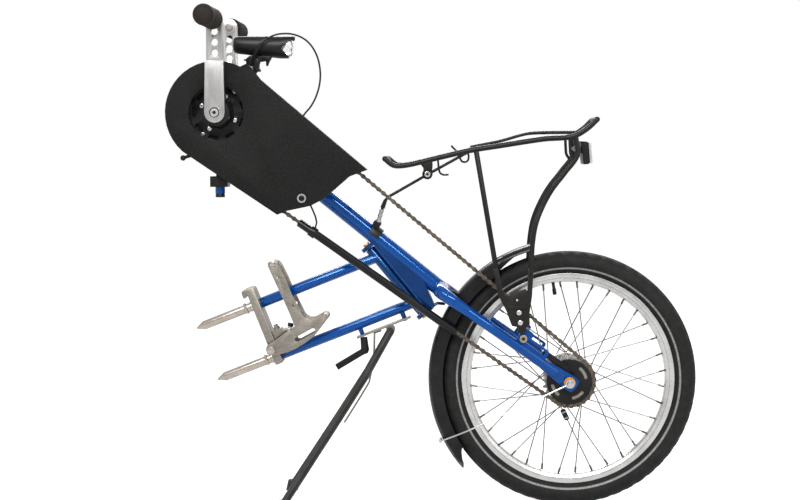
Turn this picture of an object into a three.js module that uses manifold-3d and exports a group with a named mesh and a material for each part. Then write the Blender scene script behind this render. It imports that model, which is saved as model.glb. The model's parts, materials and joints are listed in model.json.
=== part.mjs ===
// Wheelchair clip-on handcycle: a hand-cranked front wheel that docks onto a chair with two pins.
// Millimetres. +X is forward, towards the wheel, +Y is the rider's left, +Z is up.
// Every place below is measured from the ground point under the wheel axle.
import * as THREE from 'three';
import { mergeVertices } from 'three/addons/utils/BufferGeometryUtils.js';
import Module from 'manifold-3d';

const wasm = await Module();
wasm.setup();

// Fits and tool sizes shared by every piece
const gap = 0.3; // between pieces that touch
const run = 0.6; // between pieces that turn on each other
const overrun = 4; // how far a cutter passes a face
const weld = 1.5; // how far one member of a weldment runs into the next

// Wheel
const rimOuterRadius = 207.5;
const rimDepth = 11.5;
const rimWidth = 25;
const tyreHeight = 42.5; // from the rim's edge to the tread
const tyreWidth = 47;
const rimInnerRadius = rimOuterRadius - rimDepth;
const tyreRadius = rimOuterRadius + tyreHeight;
const axleHeight = tyreRadius;

// Fork crown: behind the axle and above it, clear of the tyre
const crownRise = 0.696; // in tyre radii
const crownX = -tyreRadius;
const crownZ = axleHeight + tyreRadius * crownRise;

// Crank axle, level with the rider's chest
const crankBack = 428;
const crankRise = 344;
const crankX = crownX - crankBack;
const crankZ = crownZ + crankRise;
const crankLength = 175;
const crankFace = 100; // outer face of each crank arm from the middle plane
const gripLength = 113;

// Chain drive
const pitch = 12.7;
const chainringTeeth = 42;
const sprocketTeeth = 24;
const chainY = -45; // chain line

// Main tube and fork
const tubeRadius = 16;
const bladeRadius = 10;
const bladeY = 62;

// Steering head: its axis leans back over the docking arms
const headTopBack = 154;
const headTopRise = 96;
const headBottomBack = 26;
const headBottomDrop = 59;
const headTopX = crownX - headTopBack;
const headTopZ = crownZ + headTopRise;
const headBottomX = crownX - headBottomBack;
const headBottomZ = crownZ - headBottomDrop;

// Docking arms
const armRadius = 10.5;
const dockPinRadius = 9;

// Rear reach of the chain guard sets the middle of the object
const guardRadius = 99;
const middleX = (crankX - guardRadius + tyreRadius) / 2;

const blue = { color: 0x0a4fa8, roughness: 0.35, metalness: 0.25 };
const darkBlue = { color: 0x083a86, roughness: 0.4, metalness: 0.25 };
const black = { color: 0x1c1b1b, roughness: 0.6, metalness: 0.1 };
const grained = { color: 0x343232, roughness: 0.8, metalness: 0 };
const rubber = { color: 0x222122, roughness: 0.85, metalness: 0 };
const steel = { color: 0x9c948a, roughness: 0.4, metalness: 0.9 };
const bright = { color: 0xc9c9cb, roughness: 0.25, metalness: 0.9 };
const bronze = { color: 0x6e6254, roughness: 0.5, metalness: 0.8 };
const clear = { color: 0xdfe6ea, roughness: 0.1, metalness: 0 };
const orange = { color: 0xf6a21a, roughness: 0.5, metalness: 0 };

const part = new THREE.Group();
part.position.x = -middleX;
const V = (x, y, z) => new THREE.Vector3(x, y, z);

// Turns a closed three.js geometry into a solid, whichever way its faces were wound
function solid(geometry) {
  const bare = geometry.clone();
  bare.deleteAttribute('normal');
  bare.deleteAttribute('uv');
  const merged = mergeVertices(bare);
  const at = (i) => new THREE.Vector3().fromBufferAttribute(merged.attributes.position, i);
  const triangles = [];
  let volume = 0;
  for (let i = 0; i < merged.index.count; i += 3) {
    const [a, b, c] = [0, 1, 2].map((k) => merged.index.getX(i + k));
    if (a !== b && b !== c && a !== c) {
      triangles.push([a, b, c]);
      volume += at(a).dot(at(b).cross(at(c)));
    }
  }
  if (volume < 0) triangles.forEach((triangle) => triangle.reverse());
  const mesh = new wasm.Mesh({
    numProp: 3,
    vertProperties: new Float32Array(merged.attributes.position.array),
    triVerts: new Uint32Array(triangles.flat()),
  });
  return new wasm.Manifold(mesh);
}

// Adds a named piece to the part
function piece(name, form, look) {
  const made = form.getMesh();
  const geometry = new THREE.BufferGeometry();
  geometry.setAttribute('position', new THREE.BufferAttribute(new Float32Array(made.vertProperties), 3));
  geometry.setIndex(new THREE.BufferAttribute(new Uint32Array(made.triVerts), 1));
  geometry.computeVertexNormals();
  const mesh = new THREE.Mesh(geometry, new THREE.MeshStandardMaterial(look));
  mesh.name = name;
  part.add(mesh);
  return mesh;
}

const join = (...forms) => forms.flat().reduce((a, b) => a.add(b));
const largest = (form) => form.decompose().sort((a, b) => b.volume() - a.volume())[0];
const cut = (form, ...tools) => tools.flat().reduce((a, b) => a.subtract(b), form);

// Round bar from one point to another, tapered if two radii are given
function bar(from, to, radius, endRadius = radius, sides = 10) {
  const length = from.distanceTo(to);
  const geometry = new THREE.CylinderGeometry(endRadius, radius, length, sides);
  const turn = new THREE.Quaternion();
  turn.setFromUnitVectors(V(0, 1, 0), to.clone().sub(from).normalize());
  geometry.applyQuaternion(turn);
  const middle = from.clone().add(to).multiplyScalar(0.5);
  geometry.translate(middle.x, middle.y, middle.z);
  return solid(geometry);
}

// Cylinder across the machine, centred on x, z and running from y low to y high
function cross(x, z, low, high, radius, sides = 12) {
  return bar(V(x, low, z), V(x, high, z), radius, radius, sides);
}

// Bar with a flat rectangular section between two points in the middle plane's direction
function flat(from, to, depth, low, high) {
  const along = to.clone().sub(from);
  const geometry = new THREE.BoxGeometry(along.length(), high - low, depth);
  geometry.rotateY(-Math.atan2(along.z, along.x));
  const middle = from.clone().add(to).multiplyScalar(0.5);
  geometry.translate(middle.x, (low + high) / 2, middle.z);
  return solid(geometry);
}

// Plate with an outline in x and z, from y low to y high
function plate(shape, low, high, curveSegments = 2) {
  const geometry = new THREE.ExtrudeGeometry(shape, { depth: high - low, bevelEnabled: false,
    curveSegments });
  geometry.rotateX(Math.PI / 2);
  geometry.translate(0, high, 0);
  return solid(geometry);
}

// Outline through points, each corner rounded by its own radius
function outline(corners) {
  const shape = new THREE.Shape();
  const count = corners.length;
  corners.forEach(([x, z, radius = 0], i) => {
    const here = new THREE.Vector2(x, z);
    const before = new THREE.Vector2(...corners[(i + count - 1) % count].slice(0, 2)).sub(here);
    const after = new THREE.Vector2(...corners[(i + 1) % count].slice(0, 2)).sub(here);
    const half = Math.acos(THREE.MathUtils.clamp(before.dot(after) / before.length() / after.length(), -1,
      1)) / 2;
    const back = Math.min(radius / Math.tan(half), before.length() / 2, after.length() / 2);
    const start = here.clone().addScaledVector(before.normalize(), back);
    const end = here.clone().addScaledVector(after.normalize(), back);
    if (i) shape.lineTo(start.x, start.y);
    else shape.moveTo(start.x, start.y);
    if (back > 0) shape.quadraticCurveTo(here.x, here.y, end.x, end.y);
  });
  shape.closePath();
  return shape;
}

// Round tube along a smooth path
function bentBar(points, radius, steps, sides = 8, tension = 0.5) {
  const path = new THREE.CatmullRomCurve3(points, false, 'centripetal', tension);
  const section = new THREE.Shape();
  section.absarc(0, 0, radius, 0, 2 * Math.PI);
  const options = { extrudePath: path, steps, bevelEnabled: false, curveSegments: sides / 2 };
  return solid(new THREE.ExtrudeGeometry(section, options));
}

// Strip of constant thickness that follows a line of x, z places
function ribbon(line, thick, low, high) {
  const edge = (side) => line.map(([x, z], i) => {
    const before = line[Math.max(i - 1, 0)];
    const after = line[Math.min(i + 1, line.length - 1)];
    const along = new THREE.Vector2(after[0] - before[0], after[1] - before[1]).normalize();
    return new THREE.Vector2(x - along.y * side * thick / 2, z + along.x * side * thick / 2);
  });
  return plate(new THREE.Shape([...edge(1), ...edge(-1).reverse()]), low, high);
}

// Solid of revolution about a line across the machine; profile pairs are radius and y.
// A profile that doesn't start on the line is a ring and closes on itself.
function revolve(profile, x, z, segments = 32) {
  const closed = profile[0][0] > 0 ? [...profile, profile[0]] : profile;
  const points = closed.map(([r, y]) => new THREE.Vector2(r, y));
  const geometry = new THREE.LatheGeometry(points, segments);
  geometry.translate(x, 0, z);
  return solid(geometry);
}

// Point at a distance and angle from a centre in the x, z plane; angle 0 is forward, 90 is up
const polar = (x, z, radius, degrees) => {
  const a = THREE.MathUtils.degToRad(degrees);
  return [x + radius * Math.cos(a), z + radius * Math.sin(a)];
};

// Main tube with its crank shell and fork crown
const shell = { radius: 25, bore: 9.1, half: 36, cupRadius: 20, cup: 4 };
const crown = { radius: 14, overhang: 9 };
function mainTube() {
  const tube = bar(V(crankX, 0, crankZ), V(crownX, 0, crownZ), tubeRadius);
  const shellTube = cross(crankX, crankZ, -shell.half, shell.half, shell.radius);
  const cups = cross(crankX, crankZ, -shell.half - shell.cup, shell.half + shell.cup, shell.cupRadius);
  const bore = cross(crankX, crankZ, -shell.half * 2, shell.half * 2, shell.bore);
  const end = bladeY + crown.overhang;
  const yoke = cross(crownX, crownZ, -end, end, crown.radius, 16);
  return cut(join(tube, shellTube, cups, yoke), bore);
}
piece('main_tube', mainTube(), blue);

// Two fork blades run from the crown to the wheel axle, flattened at the dropouts
const bladeAlong = V(-crownX, 0, axleHeight - crownZ).normalize();
const bladeUp = V(-bladeAlong.z, 0, bladeAlong.x);
const onBlade = (along, up) => [crownX + bladeAlong.x * along + bladeUp.x * up,
  crownZ + bladeAlong.z * along + bladeUp.z * up];
const bladeLength = Math.hypot(crownX, axleHeight - crownZ);
const dropout = { half: 15, thick: 6, length: 62, axleHole: 5.6 };
const anchor = { start: 172, end: 240, low: 4, high: 27, lugEnd: 196, lugHigh: 38, thick: 5, slot: 3.6,
  round: 6 };
const slotUp = (bladeRadius + anchor.high) / 2;
const axle = { radius: 5, half: 88 };
function forkBlade(side) {
  const y = side * bladeY;
  const start = crown.radius + gap;
  const [sx, sz] = onBlade(start - bladeRadius / 2, 0);
  const [ex, ez] = onBlade(bladeLength - dropout.length / 2, 0);
  const tube = cut(bar(V(sx, y, sz), V(ex, y, ez), bladeRadius),
    cross(crownX, crownZ, y - bladeRadius * 2, y + bladeRadius * 2, crown.radius + gap, 16));
  const eye = outline([
    [...onBlade(bladeLength - dropout.length, bladeRadius), 0],
    [...onBlade(bladeLength, dropout.half), 0],
    [...onBlade(bladeLength + dropout.half, dropout.half), dropout.half],
    [...onBlade(bladeLength + dropout.half, -dropout.half), dropout.half],
    [...onBlade(bladeLength, -dropout.half), 0],
    [...onBlade(bladeLength - dropout.length, -bladeRadius), 0],
  ]);
  const end = plate(eye, y - dropout.thick / 2, y + dropout.thick / 2);
  const hole = cross(0, axleHeight, y - overrun - dropout.thick, y + overrun + dropout.thick,
    dropout.axleHole, 16);
  const bracket = plate(outline([
    [...onBlade(anchor.start, anchor.low)],
    [...onBlade(anchor.start, anchor.lugHigh), anchor.round],
    [...onBlade(anchor.lugEnd, anchor.lugHigh), anchor.round],
    [...onBlade(anchor.lugEnd, anchor.high)],
    [...onBlade(anchor.end, anchor.high), anchor.round],
    [...onBlade(anchor.end, anchor.low)],
  ]), y - anchor.thick / 2, y + anchor.thick / 2);
  const slot = flat(V(...insertY(onBlade(anchor.start + anchor.slot * 2, slotUp), 0)),
    V(...insertY(onBlade(anchor.end - anchor.slot * 2, slotUp), 0)), anchor.slot * 2,
    y - overrun - anchor.thick, y + overrun + anchor.thick);
  return cut(join(tube, end, bracket), hole, slot);
}
function insertY([x, z], y) {
  return [x, y, z];
}
piece('fork_blade_near', forkBlade(-1), blue);
piece('fork_blade_far', forkBlade(1), blue);

// Steering head: a dark gusset under the main tube with an ear at each end of the steering tube
const headAxis = V(headBottomX - headTopX, 0, headBottomZ - headTopZ);
const headLength = headAxis.length();
const headDir = headAxis.clone().normalize();
const headOut = V(headDir.z, 0, -headDir.x); // square to the axis, towards the docking arms
const onHead = (along, out, y = 0) => V(headTopX, y, headTopZ)
  .addScaledVector(headDir, along).addScaledVector(headOut, out);
const flatPoint = (v) => [v.x, v.z];
const ear = { top: 14, bottom: 9, thick: 8, radius: 15 };
const steerTube = { radius: 9.5, boltRadius: 5, clear: 13.5 };
const head = { half: 15, belly: 34, bellyEnd: 0.62, bellyStart: 0.3, strut: 3.4 };
function steeringHead() {
  const lowEnd = headLength - ear.bottom;
  const side = plate(outline([
    [...flatPoint(onHead(ear.top, -steerTube.clear))],
    [...flatPoint(onHead(lowEnd, -steerTube.clear))],
    [...flatPoint(onHead(lowEnd, -steerTube.clear - ear.radius)), ear.thick],
    [...flatPoint(onHead(headLength * head.bellyEnd, -steerTube.clear - head.belly)), head.belly],
    [...flatPoint(onHead(headLength * head.bellyStart, -steerTube.clear - head.belly))],
    [...flatPoint(onHead(ear.top, -steerTube.clear - ear.thick))],
  ]), -head.half, head.half);
  const ears = [ear.top, lowEnd - ear.thick].map((along) => {
    const round = bar(onHead(along, 0), onHead(along + ear.thick, 0), ear.radius, ear.radius, 14);
    const web = onHead(along + ear.thick / 2, 0);
    const link = flat(web, onHead(along + ear.thick / 2, -steerTube.clear - weld), ear.thick, -head.half,
      head.half);
    return join(round, link);
  });
  const foot = onHead(lowEnd - ear.thick / 2, -steerTube.clear - ear.radius / 2);
  const strutLine = [foot, V(crownX - crown.radius / 2, 0, foot.z + ear.radius / 2),
    V(crownX + crown.radius, 0, crownZ - crown.radius * 2),
    V(crownX + crown.radius / 2, 0, crownZ - crown.radius / 2)];
  const strut = bentBar(strutLine, head.strut, 4, 6);
  const bolt = bar(onHead(0, 0), onHead(headLength, 0), steerTube.boltRadius + gap,
    steerTube.boltRadius + gap, 10);
  const clearTube = bar(V(crankX, 0, crankZ), V(crownX, 0, crownZ), tubeRadius + gap, tubeRadius + gap, 16);
  const clearCrown = cross(crownX, crownZ, -bladeY, bladeY, crown.radius + gap, 16);
  return largest(cut(join(side, ears, strut), bolt, clearTube, clearCrown));
}
piece('steering_head', steeringHead(), darkBlue);

// Chain guard: a grained plate outside the chain, with a rim that turns in towards it.
// Round the crank it is an arc; the rest is given in shares of the arc's radius.
const guard = { face: -80, thick: 3, rim: 20, hole: 53, arcFrom: 62, arcTo: 228, arcSteps: 20 };
const guardLowerShares = [
  [-0.32, -0.98], [1.17, -1.97], [1.34, -1.9], [1.81, -1.8], [2.02, -1.69], [2.23, -1.525], [2.57, -1.23],
];
const guardUpperShares = [[2.92, -1.1], [0.85, 0.64], [0.7, 0.83], [0.59, 0.94]];
function guardPoints() {
  const points = [];
  for (let i = 0; i <= guard.arcSteps; i += 1) {
    const share = i / guard.arcSteps;
    points.push(polar(crankX, crankZ, guardRadius, guard.arcFrom + (guard.arcTo - guard.arcFrom) * share));
  }
  [...guardLowerShares, ...guardUpperShares].forEach(([a, b]) => {
    points.push([crankX + a * guardRadius, crankZ + b * guardRadius]);
  });
  return points;
}
// Moves every side of an anticlockwise outline inwards by the same depth
function inset(points, depth) {
  const count = points.length;
  return points.map(([x, z], i) => {
    const [ax, az] = points[(i + count - 1) % count];
    const [bx, bz] = points[(i + 1) % count];
    const first = new THREE.Vector2(az - z, x - ax).normalize();
    const second = new THREE.Vector2(z - bz, bx - x).normalize();
    const middle = first.clone().add(second).normalize();
    const reach = depth / Math.max(middle.dot(first), 0.3);
    return [x + middle.x * reach, z + middle.y * reach];
  });
}
function chainGuard() {
  const top = guard.face + guard.rim;
  const outer = plate(outline(guardPoints()), guard.face, top);
  const hollow = plate(outline(inset(guardPoints(), guard.thick)), guard.face + guard.thick, top + overrun);
  const hole = cross(crankX, crankZ, guard.face - overrun, top + overrun, guard.hole, 28);
  return cut(outer, hollow, hole);
}
piece('chain_guard', chainGuard(), grained);

// Bracket that carries the guard: an arm from the crank shell with a foot behind the plate
const carrier = {
  width: 18, thick: 6, footRadius: 9, screwRadius: 9, screwHead: 2.4, screwShare: [1.65, -1.65],
  webY: -14.4, postEnd: -9.6,
};
const [screwX, screwZ] = carrier.screwShare.map((share, i) => (i ? crankZ : crankX) + share * guardRadius);
function guardBracket() {
  const inner = guard.face + guard.thick + gap;
  const tubeZ = crownZ + (crankZ - crownZ) * (screwX - crownX) / (crankX - crownX);
  const post = cross(screwX, screwZ, inner, carrier.postEnd, carrier.footRadius, 16);
  const web = flat(V(screwX, 0, screwZ), V(screwX, 0, tubeZ), carrier.width, carrier.webY,
    carrier.webY + carrier.thick);
  return cut(join(post, web), bar(V(crankX, 0, crankZ), V(crownX, 0, crownZ), tubeRadius + gap));
}
piece('guard_bracket', guardBracket(), black);
piece('guard_screw', join(
  cross(screwX, screwZ, guard.face - gap - carrier.screwHead, guard.face - gap, carrier.screwRadius, 20)),
  bright);

// Block clamped under the crank shell, with a capped blue stub for a stay
const block = {
  drop: 132.25, length: 34, high: 20.5, low: -56, deep: -22, neckLow: -35, neckDeep: -12, stubRadius: 9,
  stubLength: 16, cap: 4,
};
const blockZ = crankZ - block.drop;
function boxAt(x, z, length, high, low, deep) {
  return flat(V(x - length / 2, 0, z), V(x + length / 2, 0, z), high, low, deep);
}
function shellBlock() {
  const neckTop = crankZ - shell.radius / 2;
  const body = boxAt(crankX, blockZ, block.length, block.high, block.low, block.deep);
  const neck = boxAt(crankX, (neckTop + blockZ) / 2, block.length / 2, neckTop - blockZ, block.neckLow,
    block.neckDeep);
  const clear = cross(crankX, crankZ, -shell.half - overrun, shell.half + overrun, shell.radius + gap);
  return cut(join(body, neck), clear);
}
const stubY = (block.low + block.deep) / 2;
const stubTop = blockZ - block.high / 2 - gap;
const stubEnd = stubTop - block.stubLength;
piece('shell_block', join(shellBlock(),
  bar(V(crankX, stubY, stubTop + weld), V(crankX, stubY, stubEnd), block.stubRadius),
  bar(V(crankX, stubY, stubEnd), V(crankX, stubY, stubEnd - block.cap), block.stubRadius + gap)), black);

// Chain drive: both toothed wheels and the chain share one pitch
const pitchRadius = (teeth) => pitch / 2 / Math.sin(Math.PI / teeth);
const ringRadius = pitchRadius(chainringTeeth);
const cogRadius = pitchRadius(sprocketTeeth);
const tooth = { thick: 1.8, root: 4.1, tip: 3.4 };
const toothShares = [[-0.12, -1], [0.12, -1], [0.39, 1], [0.61, 1]]; // turn and height
function toothedWheel(x, z, teeth, phase) {
  const radius = pitchRadius(teeth);
  const shape = new THREE.Shape();
  for (let i = 0; i < teeth; i += 1) {
    toothShares.forEach(([turn, height], k) => {
      const reach = radius + height * (height > 0 ? tooth.tip : tooth.root);
      const [px, pz] = polar(x, z, reach, phase + (i + turn) * 360 / teeth);
      if (i + k) shape.lineTo(px, pz);
      else shape.moveTo(px, pz);
    });
  }
  shape.closePath();
  return plate(shape, chainY - tooth.thick / 2, chainY + tooth.thick / 2);
}
// The two straight runs are tangents; their normals set where the chain leaves each wheel
const drive = { dx: -crankX, dz: axleHeight - crankZ };
drive.length = Math.hypot(drive.dx, drive.dz);
drive.slope = THREE.MathUtils.radToDeg(Math.atan2(drive.dz, drive.dx));
drive.spread = THREE.MathUtils.radToDeg(Math.asin((ringRadius - cogRadius) / drive.length));
drive.upper = 90 + drive.slope - drive.spread;
drive.lower = drive.slope - 90 + drive.spread;
const ringStep = 360 / chainringTeeth;
const cogStep = 360 / sprocketTeeth;

// Crankset: spindle, chainring on its spider, two arms with four pedal positions
const spindle = { radius: 8.5, capRadius: 11, cap: 3.2, socket: 3.25, socketDeep: 1.6 };
const crank = {
  thick: 15, bossHalf: 19.5, topHalf: 16, plateThick: 8, stepHeight: 98, holeRadius: 7, firstHole: 22,
  holePitch: 20, holes: 3,
};
// Closed spider disc: its windows are seen near the edge of the guard's hole
const spider = {
  radius: 71, ringRadius: 62, boss: 26, thick: 5, boltCircle: 33, boltRadius: 5, boltHead: 2, bolts: 3,
  boltStart: 157, slotRadius: 49, slotHalf: 3.5, slots: 9, slotSweep: 22, slotStart: 6,
};
const armInner = crankFace - crank.thick;
function crankArm(side) {
  const between = (a, b) => [Math.min(side * a, side * b), Math.max(side * a, side * b)];
  const pinZ = crankZ + crankLength;
  const lower = new THREE.Shape();
  lower.absarc(crankX, crankZ, crank.bossHalf, Math.PI, 2 * Math.PI, false);
  lower.lineTo(crankX + crank.topHalf + weld, crankZ + crank.stepHeight);
  lower.lineTo(crankX - crank.topHalf - weld, crankZ + crank.stepHeight);
  const upper = new THREE.Shape();
  upper.absarc(crankX, pinZ, crank.topHalf, 0, Math.PI, false);
  upper.lineTo(crankX - crank.topHalf, crankZ + crank.stepHeight - overrun);
  upper.lineTo(crankX + crank.topHalf, crankZ + crank.stepHeight - overrun);
  const holes = [];
  for (let i = 0; i < crank.holes; i += 1) {
    const holeZ = pinZ - crank.firstHole - crank.holePitch * i;
    holes.push(cross(crankX, holeZ, ...between(armInner - overrun, crankFace + overrun), crank.holeRadius,
      8));
  }
  const body = join(plate(lower, ...between(armInner, crankFace), 4),
    plate(upper, ...between(armInner, armInner + crank.plateThick), 4));
  const bore = cross(crankX, crankZ, ...between(armInner - overrun, crankFace + overrun),
    spindle.radius + gap);
  const gripAxle = cross(crankX, pinZ, ...between(armInner + weld, crankFace + gripLength * grip.axleShare),
    grip.axleRadius);
  return join(cut(body, holes, bore), gripAxle);
}
const grip = {
  radius: 20, neck: 15, neckLength: 9, endRadius: 14, axleRadius: 7, nut: 5, axleShare: 0.75,
  boreShare: 0.8,
};
piece('crank_arm_near', crankArm(-1), bright);
piece('crank_arm_far', crankArm(1), bright);
function crankSpindle() {
  const end = crankFace + gap + spindle.cap;
  const shaft = cross(crankX, crankZ, -end, end, spindle.radius);
  const caps = [-end, end - spindle.cap].map((low) => (
    cross(crankX, crankZ, low, low + spindle.cap, spindle.capRadius)));
  const sockets = [-end, end].map((y) => (
    cross(crankX, crankZ, y - spindle.socketDeep, y + spindle.socketDeep, spindle.socket, 6)));
  return cut(join(shaft, caps), sockets);
}
piece('crank_spindle', crankSpindle(), steel);
function chainring() {
  const wheel = toothedWheel(crankX, crankZ, chainringTeeth, drive.upper);
  const window = cross(crankX, crankZ, chainY - overrun, chainY + overrun, spider.ringRadius, 20);
  return cut(wheel, window);
}
// Curved slots in a ring round a centre, all the way through a disc
function arcSlots(x, z, low, high, { slotRadius, slotHalf, slots, slotSweep, slotStart }) {
  return Array.from({ length: slots }, (_, i) => {
    const from = 360 / slots * i + slotStart;
    const arc = [from, from + slotSweep].map(THREE.MathUtils.degToRad);
    const shape = new THREE.Shape();
    shape.absarc(x, z, slotRadius + slotHalf, ...arc, false);
    shape.absarc(x, z, slotRadius - slotHalf, ...arc.reverse(), true);
    shape.closePath();
    return plate(shape, low, high, 3);
  });
}
function ringSpider() {
  const outer = chainY - tooth.thick / 2 - gap;
  const low = outer - spider.thick;
  const body = cross(crankX, crankZ, low, outer, spider.radius, 24);
  const windows = arcSlots(crankX, crankZ, low - overrun, outer + overrun, spider);
  const boss = cross(crankX, crankZ, -armInner + gap, outer, spider.boss, 20);
  const bolts = Array.from({ length: spider.bolts }, (_, i) => {
    const [x, z] = polar(crankX, crankZ, spider.boltCircle, spider.boltStart + i * 360 / spider.bolts);
    return cross(x, z, low - spider.boltHead, low + gap, spider.boltRadius, 8);
  });
  const bore = cross(crankX, crankZ, -crankFace, 0, spindle.radius + gap);
  return cut(join(cut(body, windows), boss, bolts), bore);
}
piece('chainring', chainring(), black);
piece('chainring_spider', ringSpider(), black);

// Free-turning grips on axles screwed into the crank ends
function gripBody(side) {
  const start = crankFace + run;
  const profile = [
    [0, start + grip.nut], [grip.neck, start + grip.nut], [grip.neck,
    start + grip.neckLength / 2 + grip.nut],
    [grip.radius, start + grip.neckLength + grip.nut], [grip.radius, start + gripLength],
    [grip.endRadius, start + gripLength + grip.nut], [0, start + gripLength + grip.nut],
  ];
  const form = revolve(profile, crankX, crankZ + crankLength, 14);
  const boreEnd = start + gripLength * grip.boreShare;
  const bore = cross(crankX, crankZ + crankLength, start - overrun, boreEnd, grip.axleRadius + run, 12);
  const made = cut(form, bore);
  return side > 0 ? made : made.mirror([0, 1, 0]);
}
for (const [name, side] of [['near', -1], ['far', 1]]) {
  piece(`grip_${name}`, gripBody(side), rubber);
}

// Wheel: tyre, rim, hub with 36 spokes and the valve
const wheelSteps = 36;
const rimShape = { well: 3.6, lip: 2.6, floor: 0.45 };
const tyreShape = { low: 0.2, shoulder: [0.45, 0.86], crown: [0.08, 0.42] }; // in half widths
function tyre() {
  const half = tyreWidth / 2;
  const belly = (tyreRadius + rimOuterRadius) / 2 - half * tyreShape.low;
  const seat = rimWidth / 2 - gap;
  const [shoulderIn, shoulderOut] = tyreShape.shoulder.map((share) => share * half);
  const [crownIn, crownOut] = tyreShape.crown.map((share) => share * half);
  const bead = rimOuterRadius + gap;
  return revolve([
    [bead, -seat], [bead, seat], [belly, half], [tyreRadius - shoulderIn, shoulderOut],
    [tyreRadius - crownIn, crownOut],
    [tyreRadius, 0], [tyreRadius - crownIn, -crownOut], [tyreRadius - shoulderIn, -shoulderOut],
    [belly, -half],
  ], 0, axleHeight, wheelSteps);
}
piece('tyre', tyre(), rubber);
function rim() {
  const half = rimWidth / 2;
  const edge = half - rimShape.lip / 2;
  const wall = rimOuterRadius - rimShape.lip;
  const floor = half * rimShape.floor;
  return revolve([
    [rimInnerRadius, -floor], [rimInnerRadius, floor], [wall, half], [rimOuterRadius, edge],
    [rimOuterRadius - rimShape.well, 0], [rimOuterRadius, -edge], [wall, -half],
  ], 0, axleHeight, wheelSteps);
}
piece('rim', rim(), bright);

// Hub shell: a spoke flange at each end of a waisted barrel, wider at the brake end
const hub = {
  near: -35, far: 44, flange: 44, drum: 46, barrel: 24, thick: 3.2, seat: 9, drumSeat: 14.4, bore: 7,
};
const spoke = { count: 36, radius: 1, lean: 1.05, turn: 50, inset: 2.5, farInset: 7.2 };
const rimFlat = rimInnerRadius * Math.cos(Math.PI / wheelSteps) - gap; // inside the rim's facets
function hubAndSpokes() {
  const body = revolve([
    [hub.bore, hub.near], [hub.flange, hub.near], [hub.flange, hub.near + hub.thick],
    [hub.barrel, hub.near + hub.seat], [hub.barrel, 0], [hub.drum - hub.thick, hub.far - hub.drumSeat],
    [hub.drum, hub.far - hub.drumSeat], [hub.drum, hub.far], [hub.bore, hub.far],
  ], 0, axleHeight, 18);
  const spokes = [];
  for (let i = 0; i < spoke.count; i += 1) {
    const side = i % 2 ? 1 : -1;
    const lean = Math.floor(i / 2) % 2 ? 1 : -1;
    const end = 360 / spoke.count * (i + 0.5);
    const [hx, hz] = polar(0, axleHeight, hub.flange - spoke.inset, end + lean * spoke.turn);
    const [rx, rz] = polar(0, axleHeight, rimFlat, end);
    const hubY = (side < 0 ? hub.near + hub.thick / 2 : hub.far - spoke.farInset) + lean * spoke.lean;
    const rimY = side * hub.thick + lean * spoke.lean;
    spokes.push(bar(V(hx, hubY, hz), V(rx, rimY, rz), spoke.radius, spoke.radius, 3));
  }
  return join(body, spokes);
}
piece('hub_and_spokes', hubAndSpokes(), bright);
const valve = { angle: 99, radius: 3.2, capRadius: 4, length: 17, cap: 12 };
function valveStem() {
  const at = (radius) => V(...insertY(polar(0, axleHeight, radius, valve.angle), 0));
  return join(bar(at(rimFlat), at(rimFlat - valve.length - weld), valve.radius, valve.radius, 8),
    bar(at(rimFlat - valve.length), at(rimFlat - valve.length - valve.cap), valve.capRadius,
    valve.capRadius, 8));
}
piece('valve', valveStem(), black);

// Hub sprocket with the slotted cover disc that turns with it
const disc = { thick: 2, out: 3.6, radius: 44, boss: 22, slotRadius: 33, slotHalf: 3, slots: 4,
  slotSweep: 44, slotStart: 10 };
function sprocket() {
  const wheel = toothedWheel(0, axleHeight, sprocketTeeth, drive.upper);
  const plateY = chainY - tooth.thick / 2 - disc.out;
  const boss = cross(0, axleHeight, plateY, hub.near - run, disc.boss);
  return cut(join(wheel, boss), cross(0, axleHeight, plateY - overrun, 0, axle.radius + run, 16));
}
piece('hub_sprocket', sprocket(), bronze);
function coverDisc() {
  const high = chainY - tooth.thick / 2 - disc.out - gap;
  const low = high - disc.thick;
  const body = cross(0, axleHeight, low, high, disc.radius, 24);
  const slots = arcSlots(0, axleHeight, low - overrun, high + overrun, disc);
  return cut(body, slots, cross(0, axleHeight, low - overrun, high + overrun, axle.radius + run, 16));
}
piece('cover_disc', coverDisc(), black);

// Axle with its washers and nuts, held in the dropouts
const nut = { radius: 9, thick: 8, washer: 11, washerThick: 2 };
const dropoutFace = bladeY + dropout.thick / 2;
const nutSeat = dropoutFace + nut.washerThick + gap * 2;
piece('wheel_axle', join(cross(0, axleHeight, -axle.half, axle.half, axle.radius, 12),
  [-nutSeat - nut.thick, nutSeat].map((low) => cross(0, axleHeight, low, low + nut.thick, nut.radius, 6))),
  bright);
const onSide = (side, a, b) => [Math.min(side * a, side * b), Math.max(side * a, side * b)];
for (const [name, side] of [['near', -1], ['far', 1]]) {
  const seat = dropoutFace + gap;
  const bore = cross(0, axleHeight, ...onSide(side, seat - overrun, axle.half + overrun), axle.radius + gap,
    12);
  const ring = cross(0, axleHeight, ...onSide(side, seat, seat + nut.washerThick), nut.washer, 20);
  piece(`axle_washer_${name}`, cut(ring, bore), orange);
}

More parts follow.
